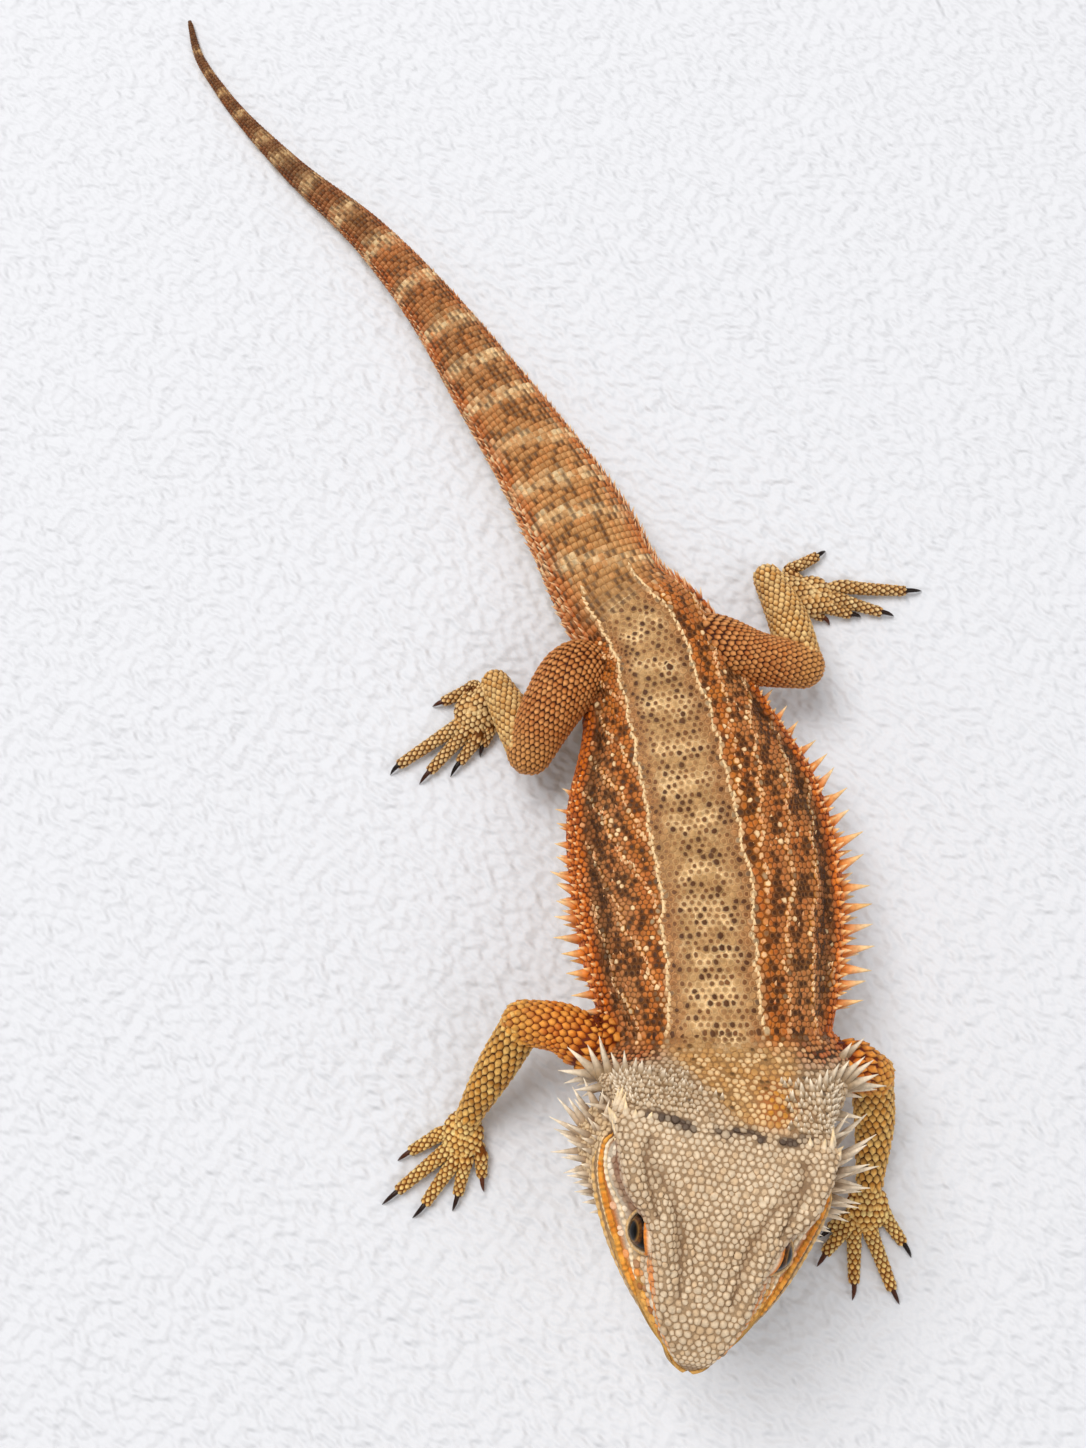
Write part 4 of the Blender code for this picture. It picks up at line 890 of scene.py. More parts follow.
def smallSolids(name, rings, marking, places, material, patch=0.0015):
    # Many closed solids at once. Each is a stack of rings: the lowest and the highest are faces
    count, levels, sides = rings.shape[:3]
    size = levels * sides
    base = (np.arange(count) * size)[:, None, None]
    quads = gridFaces(levels, sides)[None] + base
    tops = (np.arange(sides) + size - sides)[None, None] + base
    bottoms = np.arange(sides)[::-1][None, None] + base
    loops = np.concatenate([quads.ravel(), tops.ravel(), bottoms.ravel()])
    fours = count * (levels - 1) * sides
    starts = np.concatenate([np.arange(fours) * 4, fours * 4 + np.arange(2 * count) * sides])
    marking = marking if marking.ndim == 4 else marking[:, :, None]
    tones = np.broadcast_to(marking, (count, levels, sides, 3)).reshape(-1, 3)
    if places is None:
        return putMesh(name, rings.reshape(-1, 3), loops, starts, tones, None, material)
    angle = circle(sides)
    spread = np.linspace(1.0, 0.3, levels)[:, None, None] * np.stack([np.cos(angle), np.sin(angle)], -1) * patch
    uv = (places[:, None, None] + spread[None]).reshape(-1, 2)[loops]
    uv[-count * sides:] = np.repeat(places + [patch, 0], sides, axis=0)
    return putMesh(name, rings.reshape(-1, 3), loops, starts, tones, uv, material)


def turnOutward(made):
    # Recalculates which way the faces point
    shell = bmesh.new()
    shell.from_mesh(made.data)
    bmesh.ops.recalc_face_normals(shell, faces=shell.faces)
    if shell.calc_volume(signed=True) < 0:
        bmesh.ops.reverse_faces(shell, faces=shell.faces)
    shell.to_mesh(made.data)
    shell.free()


def finish(piece, slot):
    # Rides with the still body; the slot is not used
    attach(piece, "root")
    return piece


# The skin: one closed surface of body, limbs and digits

skin = {"depth": 0.45, "columns": 144, "headStep": 0.6, "trunkStep": 1.2, "tailStep": 1.6, "floor": 0.35,
        "rings": 64, "limbColumns": 44, "smallRings": 26, "smallColumns": 18}


def skinRelief(row, turn):
    # How far the skin stands out: lips, mouth line, head strokes, flank strands and loose skin
    t = folded(turn)[0] / np.pi
    onHead = np.clip(row, 0, head["length"])
    local = headLocal(onHead, turn)
    below = (t - np.interp(row, *gapeTurn)) * 92
    mouth = ramp(row, 0.5, 4) * ramp(row, gapeEnd + 2, gapeEnd - 4)
    rise = mouth * (0.5 * bump(below, -1.6, 1.0) + 0.7 * bump(below, 1.3, 1.0) - 1.0 * bump(below, 0, 0.45))
    relief = headRelief(np.minimum(row, head["length"] + 6), turn)
    rise = rise + relief * ramp(row, head["length"] + 9, head["length"] - 1) * ramp(row, 2, 8)
    edge = skullEdge(local[..., 0])
    step = ramp(row, edge, edge + 1.2) * ramp(row, head["length"] + 16, head["length"])
    rise = rise - 1.2 * step * ramp(t, 0.34, 0.26)
    along = np.clip(row - bodyStart, 0, stationAt[-1])
    onTrunk = ramp(row - bodyStart, -4, 6) * ramp(along, 150, 120)
    strand = bodyPlace(along, turn)[6]
    loose = onTrunk * ramp(t, 0.2, 0.3) * ramp(t, 0.46, 0.38)
    rise = rise + loose * (0.55 * bump(strand, 0.86, 0.14) - 0.45 * bump(strand, 0.4, 0.16))
    lump = 1.3 * bump(row, 73.0, 3.2) * bump(np.mod(turn + np.pi, 2 * np.pi) / np.pi - 1, 0.105, 0.045)
    return rise + lump - 0.8 * onTrunk * bump(t, 0.385, 0.02) + 0.5 * onTrunk * bump(t, 0.45, 0.04)


def skinSurface(surface, depth, relief=None):
    # The surface drawn in by the depth of the coat, kept above the floor
    def drawnIn(row, turn):
        point, out = axes(surface, row, turn)[:2]
        moved = point + out * (relief(row, turn) - depth)[..., None] if relief else point - out * depth
        moved[..., 2] = np.maximum(moved[..., 2], skin["floor"])
        return moved
    drawnIn.rows = getattr(surface, "rows", None)
    drawnIn.length = getattr(surface, "length", None)
    return drawnIn


dragonSkin = skinSurface(dragonPoints, skin["depth"], skinRelief)
limbSkins = {limb: {part: skinSurface(surface, skin["depth"]) for part, surface in parts.items()}
             for limb, parts in limbParts.items()}


def fillSeams(mesh):
    # The union's new points come white: each takes the mean tone of its toned neighbours
    count = len(mesh.vertices)
    tones = np.empty(count * 4, np.float32)
    mesh.attributes["marking"].data.foreach_get("color", tones)
    tones = tones.reshape(-1, 4)
    ends = np.empty(len(mesh.edges) * 2, np.int32)
    mesh.edges.foreach_get("vertices", ends)
    ends = np.concatenate([ends.reshape(-1, 2), ends.reshape(-1, 2)[:, ::-1]])
    white = tones[:, :3].min(1) > 0.9
    print("seam points without a tone:", white.sum())
    for _ in range(4):
        start, end = ends[~white[ends[:, 0]] & white[ends[:, 1]]].T
        total, found = np.zeros((count, 4)), np.zeros(count)
        np.add.at(total, end, tones[start])
        np.add.at(found, end, 1)
        near = found > 0
        tones[near] = total[near] / found[near, None]
        white = white & ~near
    mesh.attributes["marking"].data.foreach_set("color", tones.ravel())


def makeSkin():
    # Head, trunk and tail as one closed grid, joined to the closed tubes of the limbs by one union
    fromTip = np.linspace(0, 1, int(head["length"] / skin["headStep"]))[1:]
    rows = np.concatenate([head["length"] * fromTip ** 1.25,
                           np.arange(head["length"] + 1, bodyStart + 150, skin["trunkStep"]),
                           np.arange(bodyStart + 151, bodyEnd - 0.4, skin["tailStep"])])
    turns = circle(skin["columns"])
    row, turn = rows[:, None], turns[None]
    gap = dragonMarkings(row, turn, np.full((len(rows), len(turns)), 0.5))[2]
    body = closedGrid("dragonSkin", dragonSkin(row, turn), gap, skinFinish)
    group = bpy.data.collections.new("limbs")
    bpy.context.scene.collection.children.link(group)
    for limb, parts in limbSkins.items():
        for part, surface in parts.items():
            small = part.startswith("digit") or part == "wrist"
            low, high = surface.rows
            count = skin["smallRings"] if small else skin["rings"]
            ends = np.sin(np.linspace(-1, 1, count) * half) if part != "palm" else np.linspace(-1, 1, count)
            at = (low + high) / 2 + (high - low) / 2 * (0.6 * np.linspace(-1, 1, count) + 0.4 * ends) * 0.999
            around = circle(skin["smallColumns"] if small else skin["limbColumns"])
            gap = limbMarkings(limb, part, limbParts[limb][part], at[:, None], around[None], 0.5)[2]
            tube = closedGrid("limb", surface(at[:, None], around[None]), gap, skinFinish)
            bpy.context.scene.collection.objects.unlink(tube)
            group.objects.link(tube)
    union = body.modifiers.new("union", "BOOLEAN")
    union.operation = "UNION"
    union.operand_type = "COLLECTION"
    union.solver = "MANIFOLD"
    union.collection = group
    graph = bpy.context.evaluated_depsgraph_get()
    mesh = bpy.data.meshes.new_from_object(body.evaluated_get(graph))
    body.modifiers.clear()
    body.data = mesh
    for tube in list(group.objects):
        bpy.data.objects.remove(tube)
    bpy.data.collections.remove(group)
    mesh.polygons.foreach_set("use_smooth", np.ones(len(mesh.polygons), bool))
    fillSeams(mesh)
    return body


skinPiece = makeSkin()
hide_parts(*fleshNodes)
finish(skinPiece, "back_scales")
skinTree = BVHTree.FromObject(skinPiece, bpy.context.evaluated_depsgraph_get())
print("skin", len(skinPiece.data.vertices), "points, attributes", [a.name for a in skinPiece.data.attributes])


def onSkin(points, within=0.3):
    # True where a point lies on the skin's outer surface, not inside another part of it
    found = [skinTree.find_nearest(point)[3] for point in toWorld(points)]
    return np.array(found) * 1000 < within


eye = {"at": np.array([16.5, 34.0, 9.6]), "radius": 5.3, "axis": (0.93, -0.1, 0.33),
       "opening": (1.32, 0.86, 0.36),  # half angles of the lids' opening along the slit, up and down
       "lid": 1.05, "ballRings": 48, "ballSides": 64, "lidSides": 72, "lidSection": 24}


def eyeFrame(side):
    # The eye's own axes in the head: outward, forward along the slit, and up
    out = unit(np.array(eye["axis"]) * [side, 1, 1])
    forward = unit(np.array([0, -1.0, 0.05]) - out * (np.array([0, -1.0, 0.05]) @ out))
    up = np.cross(out, forward) * side
    up = up if up[2] > 0 else -up
    return out, forward, up


# Scales: places in staggered rows, outlines half way to their neighbours, solids over them

chance = np.random.default_rng(20)


def rowsApart(start, end, pitch):
    # Rows from start to end, each a pitch behind the one before
    rows = [start]
    while rows[-1] < end:
        rows.append(rows[-1] + np.interp(rows[-1], *pitch))
    return np.array(rows[:-1])


def rowsByLength(surface, pitch):
    # Rows evenly apart by length along the side line of a closed tube, from pole to pole
    fine = np.linspace(*surface.rows, 400)
    at = lengthsAlong(surface(fine, np.full(400, half)))
    count = max(int(round(at[-1] / pitch)), 2)
    return np.interp((np.arange(count) + 0.5) / count * at[-1], at, fine)


def latticeOn(surface, rows, pitch, lowTurn=0.0, highTurn=np.pi, stagger=0.5):
    # Every other row is shifted by the stagger. Columns are counted by length round from the top line
    turns = np.linspace(0, np.pi, 91)
    foundRows, foundTurns = [], []
    for side in (1.0, -1.0):
        points = surface(rows[:, None], side * turns[None])
        arcs = np.concatenate([np.zeros((len(rows), 1)),
                               np.cumsum(np.linalg.norm(np.diff(points, axis=1), axis=-1), axis=1)], axis=1)
        for number, row in enumerate(rows):
            wide = np.interp(row, *pitch) if isinstance(pitch, tuple) else pitch
            first = stagger * (number % 2)
            first = first + (first == 0 and side < 0)
            places = np.arange(first, arcs[number, -1] / wide) * wide
            found = np.interp(places, arcs[number], turns)
            found = found[(found >= lowTurn) & (found < highTurn)]
            foundRows.append(np.full(len(found), row))
            foundTurns.append(side * found)
    return np.concatenate(foundRows), np.concatenate(foundTurns)


def jittered(surface, rows, turns, amount):
    # Moves each place at random by up to the amount, in millimetres along and across
    step = 0.02
    perTurn = np.linalg.norm(surface(rows, turns + step) - surface(rows, turns), axis=-1) / step
    shift = amount * chance.uniform(-1, 1, (2, len(rows)))
    return rows + shift[0], turns + shift[1] / np.maximum(perTurn, 0.4)


def cellReach(points, across, back, weights, angle, most, neighbours=9):
    # In each corner's direction a scale reaches the plane between it and its nearest neighbours,
    # which stands nearer to the lighter of the two, but no corner far beyond the scale's others
    tree = KDTree(len(points))
    for index, point in enumerate(points):
        tree.insert(point, index)
    tree.balance()
    found = np.array([[item[1] for item in tree.find_n(point, neighbours + 1)] for point in points])[:, 1:]
    away = points[found] - points[:, None]
    flat = np.stack([(away * across[:, None]).sum(-1), (away * back[:, None]).sum(-1)], -1)
    distance = np.linalg.norm(flat, axis=-1) + 1e-6
    share = weights[:, None] / (weights[:, None] + weights[found])
    corner = np.stack([np.cos(angle), np.sin(angle)])
    toward = (flat / distance[..., None]) @ corner
    reach = np.where(toward > 0.2, (distance * share)[..., None] / np.maximum(toward, 0.2), 99.0).min(1)
    reach = np.minimum(reach, most)
    return np.minimum(reach, 1.75 * np.median(reach, axis=1, keepdims=True))


def scaleRings(surface, rows, turns, weights, style, rise=None):
    # Each scale: a sunk outline, a shoulder and a crown, tilted so that its rear edge stands up
    points, out, back, across = axes(surface, rows, turns)
    sides = style["sides"]
    angle = (np.arange(sides) + style["phase"]) * 2 * np.pi / sides
    most = np.interp(rows, *style["most"]) if isinstance(style["most"], tuple) else style["most"]
    reach = cellReach(points, across, back, weights, angle, np.asarray(most * weights)[:, None])
    rise = np.ones(len(rows)) if rise is None else rise
    x = reach * np.cos(angle)
    y = reach * np.sin(angle)
    y = np.where(y > 0, y * style["overlap"], y)
    size = (reach.mean(1) * rise)[:, None]
    rings = []
    for factor, keel, level in style["levels"]:
        px = x * factor * keel
        py = y * factor
        height = level * style["height"] * size + style["tilt"] * rise[:, None] * py * (level > 0)
        rings.append(points[:, None] + across[:, None] * px[..., None] + back[:, None] * py[..., None]
                     + out[:, None] * height[..., None])
    rings = np.stack(rings, 1)
    rings[..., 2] = np.maximum(rings[..., 2], leastHeight)
    return rings


def scaleTones(style, levelTones, middle, rim, gap, tip=None):
    # Each level's tone runs from the gap's colour (-1) over the rim's (0) to the middle's (1); the rear
    # corners lean toward the tip's paler colour, partly painted highlight, and the front corners toward the gap's as
    # painted shadow under the scale ahead
    gap = np.clip(gap, 0, 1) ** 1.2
    rim = np.clip(rim, 0, 1) ** 1.08
    tones = np.stack([gap if t < 0 else rim + (middle - rim) * t for t in levelTones], 1)
    tones = np.repeat(tones[:, :, None], style["sides"], axis=2)
    if tip is None:
        return tones
    angle = (np.arange(style["sides"]) + style["phase"]) * 2 * np.pi / style["sides"]
    # Rear corners take the paler tip, partly painted highlight; front corners the gap's tone, painted shadow under
    # the scale ahead
    rear = ramp(np.sin(angle), -0.2, 1.0)[None, None] * (np.array(levelTones) >= 0)[None, :, None]
    front = ramp(np.sin(angle), 0.2, -1.0)[None, None] * (np.array(levelTones) >= 0)[None, :, None]
    tones = mix(tones, tip[:, None, None], 0.75 * rear)
    return mix(tones, gap[:, None, None], 0.4 * front)


def placesOn(rows, turns):
    # Each root's place on the unwrapped skin, filled into the unit square
    wrapped = np.where(turns > np.pi, turns - 2 * np.pi, turns)
    low, high = rows.min(), rows.max()
    span = np.abs(wrapped).max()
    return 0.02 + 0.96 * np.column_stack([(wrapped + span) / (2 * span), (rows - low) / (high - low)])


# Styles. Levels: share of the outline, how far it narrows to a keel, share of the height
pebble = {"sides": 8, "phase": 0, "height": 0.52, "tilt": 0.0, "overlap": 1.0,
          "most": ([0, 2, 5, 12, 30, 66, 92], [0.6, 0.75, 1.05, 1.22, 1.1, 1.02, 1.02]),
          "levels": [(1.0, 1, -0.5), (0.91, 1, 0.28), (0.7, 1, 0.76), (0.34, 1, 1.0)]}
granule = {"sides": 7, "phase": 0, "height": 0.4, "tilt": 0.05, "overlap": 1.03, "most": 1.5,
           "levels": [(1.0, 1, -0.6), (0.9, 1, 0.4), (0.72, 1, 0.85), (0.52, 0.95, 1.0)]}
rhomb = {"sides": 6, "phase": 0.5, "height": 0.36, "tilt": 0.27, "overlap": 1.28, "most": 2.2,
         "levels": [(1.0, 1, -0.8), (0.9, 1, 0.4), (0.5, 0.7, 1.0)]}
handRhomb = {**rhomb, "height": 0.4, "tilt": 0.12, "overlap": 1.08}
keeled = {"sides": 8, "phase": 0, "height": 0.5, "tilt": 0.17, "overlap": 1.12, "most": 1.5,
          "levels": [(1.0, 1, -0.9), (0.92, 1, 0.35), (0.74, 0.34, 1.0)]}
flat = {"sides": 6, "phase": 0.5, "height": 0.14, "tilt": 0.05, "overlap": 1.05, "most": 1.5,
        "levels": [(1.0, 1, -1.4), (0.9, 1, 0.8), (0.6, 1, 1.0)]}


def coatOver(name, rows, turns, weights, style, luck, slot, levelTones, paleTip=0.0, rise=None):
    # Scales at the rows and turns of the body that no other part of the skin covers
    keep = onSkin(dragonSkin(rows, turns))
    rings = scaleRings(dragonSkin, rows, turns, weights, style, rise)
    middle, rim, gap = dragonMarkings(rows, turns, luck)
    # The tip mixed toward cream is a paler rear tip, partly painted highlight
    tip = mix(middle, shades["cream"], paleTip * np.ones(len(rows))) if paleTip else None
    tones = scaleTones(style, levelTones, middle, rim, gap, tip)
    made = smallSolids(name, rings[keep], tones[keep], placesOn(rows, turns)[keep], scaleFinish)
    finish(made, slot)
    print(name, keep.sum(), "scales,", len(made.data.loops) - 2 * len(made.data.polygons), "triangles")
    return made


# Welts of smooth skin on the head: (distance from the snout, turn share) along each, half width,
# height, tone of the middle, tone of the edge, length of a bead
welts = [
    ([(57, 0.404), (51, 0.398), (45, 0.393), (39, 0.386), (33, 0.381), (27, 0.383), (21, 0.389)], 0.85, 0.6,
     "lipCream", "cream", 1.7),
    ([(58, 0.419), (51, 0.414), (44, 0.4135), (38, 0.4135), (31, 0.413), (24, 0.416), (17, 0.421)], 1.0, 0.75,
     "lipOrange", "lipYellow", 1.5),
    ([(57, 0.434), (51, 0.4315), (44, 0.4295), (37, 0.4295), (30, 0.430)], 0.45, 0.5,
     "lipCream", "lipYellow", 1.6),
    ([(52, 0.450), (44, 0.4475), (36, 0.448), (28, 0.450), (20, 0.455), (13, 0.467)], 0.7, 0.5,
     "lipYellow", "beige", 2.3),
    ([(28.5, 0.325), (24, 0.318), (18, 0.310), (12, 0.305), (7, 0.285), (4.5, 0.252)], 0.5, 0.6,
     "lipOrange", "beige", 2.2),
]


def onWelt(rows, turns):
    # How far a place on the head is under a welt, from 0 to 1
    t = folded(turns)[0] / np.pi
    return np.max([headLine(rows, t, line, width) for line, width, *rest in welts], axis=0)


def makeWelts():
    # Flat ovals carried along smooth lines, beaded by a cosine and falling to nothing at both ends
    count, sides = 64, 12
    share = np.linspace(0, 1, count)
    around = circle(sides)
    allRings, allTones = [], []
    for number, (line, width, height, middleTone, edgeTone, bead) in enumerate(welts):
        knots = lengthsAlong(np.array(line) * [1, headArc])
        path = hermite(knots, np.array(line, float), share * knots[-1])
        wane = np.clip(1 - (2 * share - 1) ** 6, 0.02, 1) ** 0.5
        beads = 0.84 + 0.16 * np.cos(2 * np.pi * share * knots[-1] / bead)
        for side in (1, -1):
            point, out = axes(dragonSkin, path[:, 0], side * path[:, 1] * np.pi)[:2]
            heading = unit(np.gradient(point, axis=0))
            flank = unit(np.cross(out, heading))
            sideways = np.cos(around) * (width * wane * beads)[:, None]
            upward = np.sin(around) * (height * wane * beads)[:, None]
            rings = point[:, None] + flank[:, None] * sideways[..., None] + out[:, None] * upward[..., None]
            cloud = mottle(share * knots[-1], 0 * share, 1.3, 50 + number)[:, None]
            main = mix(shades[middleTone], shades[edgeTone], 0.75 * cloud)
            top = ramp(np.sin(around), 0.1, 0.8)[None] * np.ones((count, 1))
            tones = mix(shades[edgeTone] * 0.8, main, top)
            tones = mix(tones, shades["gapBrown"], 0.5 * ramp(beads, 0.8, 0.69)[:, None] * np.ones(sides))
            allRings.append(rings if side > 0 else rings[:, ::-1])
            allTones.append(tones if side > 0 else tones[:, ::-1])
    made = smallSolids("lip_welts", np.array(allRings), np.array(allTones), None, scaleFinish)
    turnOutward(made)
    finish(made, "head_scales")


# Where rows start and end, their pitch by row along and across, and how far each scale strays
headCoat = {"start": 0.15, "end": bodyStart, "stray": 0.42, "napeAt": 46,
            "along": ([0, 1, 3, 6, 12, 30, 66, 92], [0.35, 0.7, 1.25, 1.6, 1.9, 1.7, 1.6, 1.6]),
            "across": ([0, 2, 6, 12, 30, 66, 92], [1.2, 1.4, 1.9, 2.15, 1.95, 1.85, 1.85])}
# Zones: pitch along, pitch across, and the turn shares between which they hold
trunkCoat = {"start": bodyStart + 0.5, "end": bodyStart + 137.5, "stray": 0.38,
             "zones": [(1.95, 2.2, 0.0, 0.17), (1.6, 1.75, 0.17, 0.4), (1.9, 2.1, 0.4, 0.61)],
             "belly": (2.0, 2.2, 0.61, 1.0)}
tailCoat = {"start": bodyStart + 138.5, "end": bodyEnd - 1.0, "stray": 0.1,
            "along": ([220, 300, 400, 500, 515], [2.5, 2.3, 1.85, 1.2, 0.9]),
            "across": ([220, 300, 400, 500, 515], [2.15, 2.0, 1.55, 1.0, 0.7])}


def makeHeadScales():
    # Pebbles over head and nape, clear of the eye, the mouth line and the welts, flatter near the
    # mouth and in the hollow behind the eye
    rows, turns = latticeOn(dragonSkin, rowsApart(headCoat["start"], headCoat["end"], headCoat["along"]),
                            headCoat["across"])
    shiftedRows, shiftedTurns = jittered(dragonSkin, rows, turns, headCoat["stray"])
    rows, turns = np.where(rows > 4, shiftedRows, rows), np.where(rows > 4, shiftedTurns, turns)
    luck = chance.random(len(rows))
    weights = 0.8 + 0.6 * chance.random(len(rows)) ** 2
    local = headLocal(np.clip(rows, 0, head["length"]), turns)
    local[:, 0] = np.abs(local[:, 0])
    out = eyeFrame(1)[0]
    away = local - eye["at"]
    offAxis = np.linalg.norm(away - (away @ out)[:, None] * out, axis=1)
    t = np.abs(turns) / np.pi
    groove = np.abs(t - np.interp(rows, *gapeTurn)) * np.interp(rows, *halfRing)
    clear = ((offAxis > eye["radius"] - 0.1) | (rows > head["length"])) & ((groove > 0.8) | (rows > gapeEnd))
    clear = clear & (onWelt(rows, turns) < 0.45) & ((rows > 4.5) | (t < 0.44))
    hollow = headLine(rows, t, hollowLine, hollowWidth)
    rise = (1 - 0.5 * bump(t, 0.46, 0.07) * ramp(rows, 60, 50)) * (1 - 0.6 * hollow) * ramp(rows, -0.8, 6)
    nearGape = ramp(groove, 2.6, 0.8) * (rows < gapeEnd)
    rise = rise * (1 - 0.75 * nearGape)
    weights = weights * (1 - 0.4 * nearGape)
    onNape = rows >= headCoat["napeAt"]
    for name, pick in (("head_scales", clear & ~onNape), ("nape_scales", clear & onNape)):
        coatOver(name, rows[pick], turns[pick], weights[pick], pebble, luck[pick],
                 "head_scales", [-1, 0.25, 0.75, 1.0], 0.0, rise[pick])


def trunkZone(along, across, low, high):
    # A lattice of even pitch between two turns of the trunk
    rows = rowsApart(trunkCoat["start"], trunkCoat["end"], ([0, 1], [along] * 2))
    return latticeOn(dragonSkin, rows, across, low * np.pi, high * np.pi)


def makeTrunkScales():
    # Granules, heavier along the fringe and for a few by luck, then the belly's flat scales
    rows, turns = (np.concatenate(parts) for parts in zip(*(trunkZone(*zone) for zone in trunkCoat["zones"])))
    rows, turns = jittered(dragonSkin, rows, turns, trunkCoat["stray"])
    luck = chance.random(len(rows))
    fringe = bump(np.abs(turns) / np.pi, 0.47, 0.06) * (rows < bodyStart + 110)
    weights = 0.85 + 0.25 * chance.random(len(rows)) + 0.4 * (luck < 0.16) + 0.3 * fringe
    for name, pick in (("back_scales_right", turns < 0), ("back_scales_left", turns >= 0)):
        coatOver(name, rows[pick], turns[pick], weights[pick], granule, luck[pick],
                 "back_scales", [-1, 0.0, 0.3, 1.0])
    rows, turns = trunkZone(*trunkCoat["belly"])
    luck = chance.random(len(rows))
    coatOver("belly_scales", rows, turns, np.ones(len(rows)), flat, luck, "back_scales", [-1, 0.2, 1.0])


def makeTailScales():
    # Keeled scales in straight lines, smaller to the tip
    rows, turns = latticeOn(dragonSkin, rowsApart(tailCoat["start"], tailCoat["end"], tailCoat["along"]),
                            tailCoat["across"], stagger=0.0)
    rows, turns = jittered(dragonSkin, rows, turns, tailCoat["stray"])
    luck = chance.random(len(rows))
    rise = np.interp(rows - bodyStart, [133, 153], [0.45, 1.0])
    coatOver("tail_scales", rows, turns, np.ones(len(rows)), keeled, luck, "tail_scales", [-1, 0.0, 1.0], 0.12, rise)


makeHeadScales()
makeWelts()
makeTrunkScales()
makeTailScales()


# Pitch of the scales along and across, and how far each strays
limbScaleSizes = {("hind", "upper"): (1.8, 1.75, 0.22), ("fore", "upper"): (2.3, 2.2, 0.16),
                  ("hind", "lower"): (2.1, 2.0, 0.15), ("fore", "lower"): (2.6, 2.2, 0.12),
                  "palm": (1.9, 1.9, 0.16), "wrist": (1.9, 1.9, 0.12)}


def limbTip(limb, part, middle, luck):
    # The paler rear tip of a limb's scale, partly painted highlight
    return mix(middle, limbTones(limb, part)[1], 0.35 + 0.65 * np.mod(luck * 3.7, 1))


def makeLimbScales(limb):
    # Rhombs over each part where the skin shows. Each part fills its own strip of the unit square
    groups = []
    for part, surface in limbSkins[limb].items():
        long, wide, loose = limbScaleSizes.get((limb[:4], part)) or limbScaleSizes.get(part, (1.5, 1.75, 0.08))
        rows, turns = latticeOn(surface, rowsByLength(surface, long), wide)
        rows, turns = jittered(surface, rows, turns, loose)
        keep = onSkin(surface(rows, turns))
        rows, turns = rows[keep], turns[keep]
        luck = chance.random(len(rows))
        style = rhomb if part in ("upper", "lower") else handRhomb
        rings = scaleRings(surface, rows, turns, np.ones(len(rows)), style)
        middle, rim, gap = limbMarkings(limb, part, limbParts[limb][part], rows, turns, luck)
        tones = scaleTones(style, [-1, 0.0, 1.0], middle, rim, gap, limbTip(limb, part, middle, luck))
        places = placesOn(rows, turns) * [0.1, 0.9] + [0.02 + 0.12 * len(groups), 0.05]
        groups.append((rings, tones, places))
    rings, tones, places = (np.concatenate(parts) for parts in zip(*groups))
    made = smallSolids(limb + "_scales", rings, tones, places, scaleFinish)
    finish(made, "limb_scales")
    print(limb, len(rings), "scales")


for limb in limbs:
    makeLimbScales(limb)


# Spines: cones that bend toward the tail

def spikes(name, points, out, ways, lengths, radii, baseTone, tipTone, places, slot, sides=6):
    # Rings along a bent line, their radius falling to a point: root + way * t + bend * t squared
    share = np.array([-0.25, 0.04, 0.35, 0.7, 1.0])
    width = np.array([1.15, 1.0, 0.7, 0.36, 0.05])
    bend = unit(ways - 0.5 * out) * 0.16
    middle = (points[:, None] + (ways * lengths[:, None])[:, None] * share[None, :, None]
              + (bend * lengths[:, None])[:, None] * (share**2)[None, :, None])
    first = unit(np.cross(ways, out + [0.01, 0.02, 0.03]))
    second = np.cross(ways, first)
    angle = circle(sides)
    ring = first[:, None] * np.cos(angle)[None, :, None] + second[:, None] * np.sin(angle)[None, :, None]
    rings = middle[:, :, None] + (radii[:, None] * width)[..., None, None] * ring[:, None]
    rings[..., 2] = np.maximum(rings[..., 2], leastHeight)
    tipShare = np.array([0.0, 0.0, 0.3, 0.8, 1.0])[None, :, None]
    tones = baseTone[:, None] * (1 - tipShare) + tipTone[:, None] * tipShare
    made = smallSolids(name, rings, tones, places, spineFinish)
    return finish(made, slot)


def spikesOn(name, rows, turns, lengths, radii, lean, baseTone, tipTone, slot, scatter=0.12, sides=6):
    # Spines rooted on the skin, leaning out, back and up, each a little its own way
    points, out, back = axes(dragonSkin, rows, turns)[:3]
    keep = onSkin(points, 0.4)
    leans = np.asarray(lean, float)
    leans = leans if leans.ndim == 2 else np.tile(leans, (len(rows), 1))
    ways = (leans[:, :1] * out + leans[:, 1:2] * back + leans[:, 2:3] * np.array([0, 0, 1.0])
            + scatter * chance.normal(size=(len(rows), 3)))
    ways = unit(ways)
    lengths = lengths * chance.uniform(0.85, 1.15, len(rows))
    baseTone = np.broadcast_to(baseTone, (len(rows), 3))
    tipTone = np.broadcast_to(tipTone, (len(rows), 3))
    made = spikes(name, points[keep], out[keep], ways[keep], lengths[keep], radii[keep], baseTone[keep],
                  tipTone[keep], placesOn(rows, turns)[keep], slot, sides)
    print(name, keep.sum(), "spines")
    return made


fringePlan = {
    # Side, where it starts and ends along the trunk, its longest spine
    "sides": [(-1, 7, 86, 6.6), (1, 7, 108, 8.2)],
    # Turn share, share of the longest length, spacing, radius as a share of the length
    "rows": [(0.495, 1.0, 5.7, 0.26), (0.53, 0.6, 5.3, 0.3), (0.465, 0.34, 3.2, 0.42),
             (0.435, 0.24, 2.7, 0.55), (0.56, 0.4, 4.2, 0.3)],
    "profile": ([0, 0.12, 0.45, 0.75, 1.0], [0.75, 1.0, 0.92, 0.62, 0.4]),
    "leastRadius": 0.72, "lean": (1.0, 0.22, 0.05)}


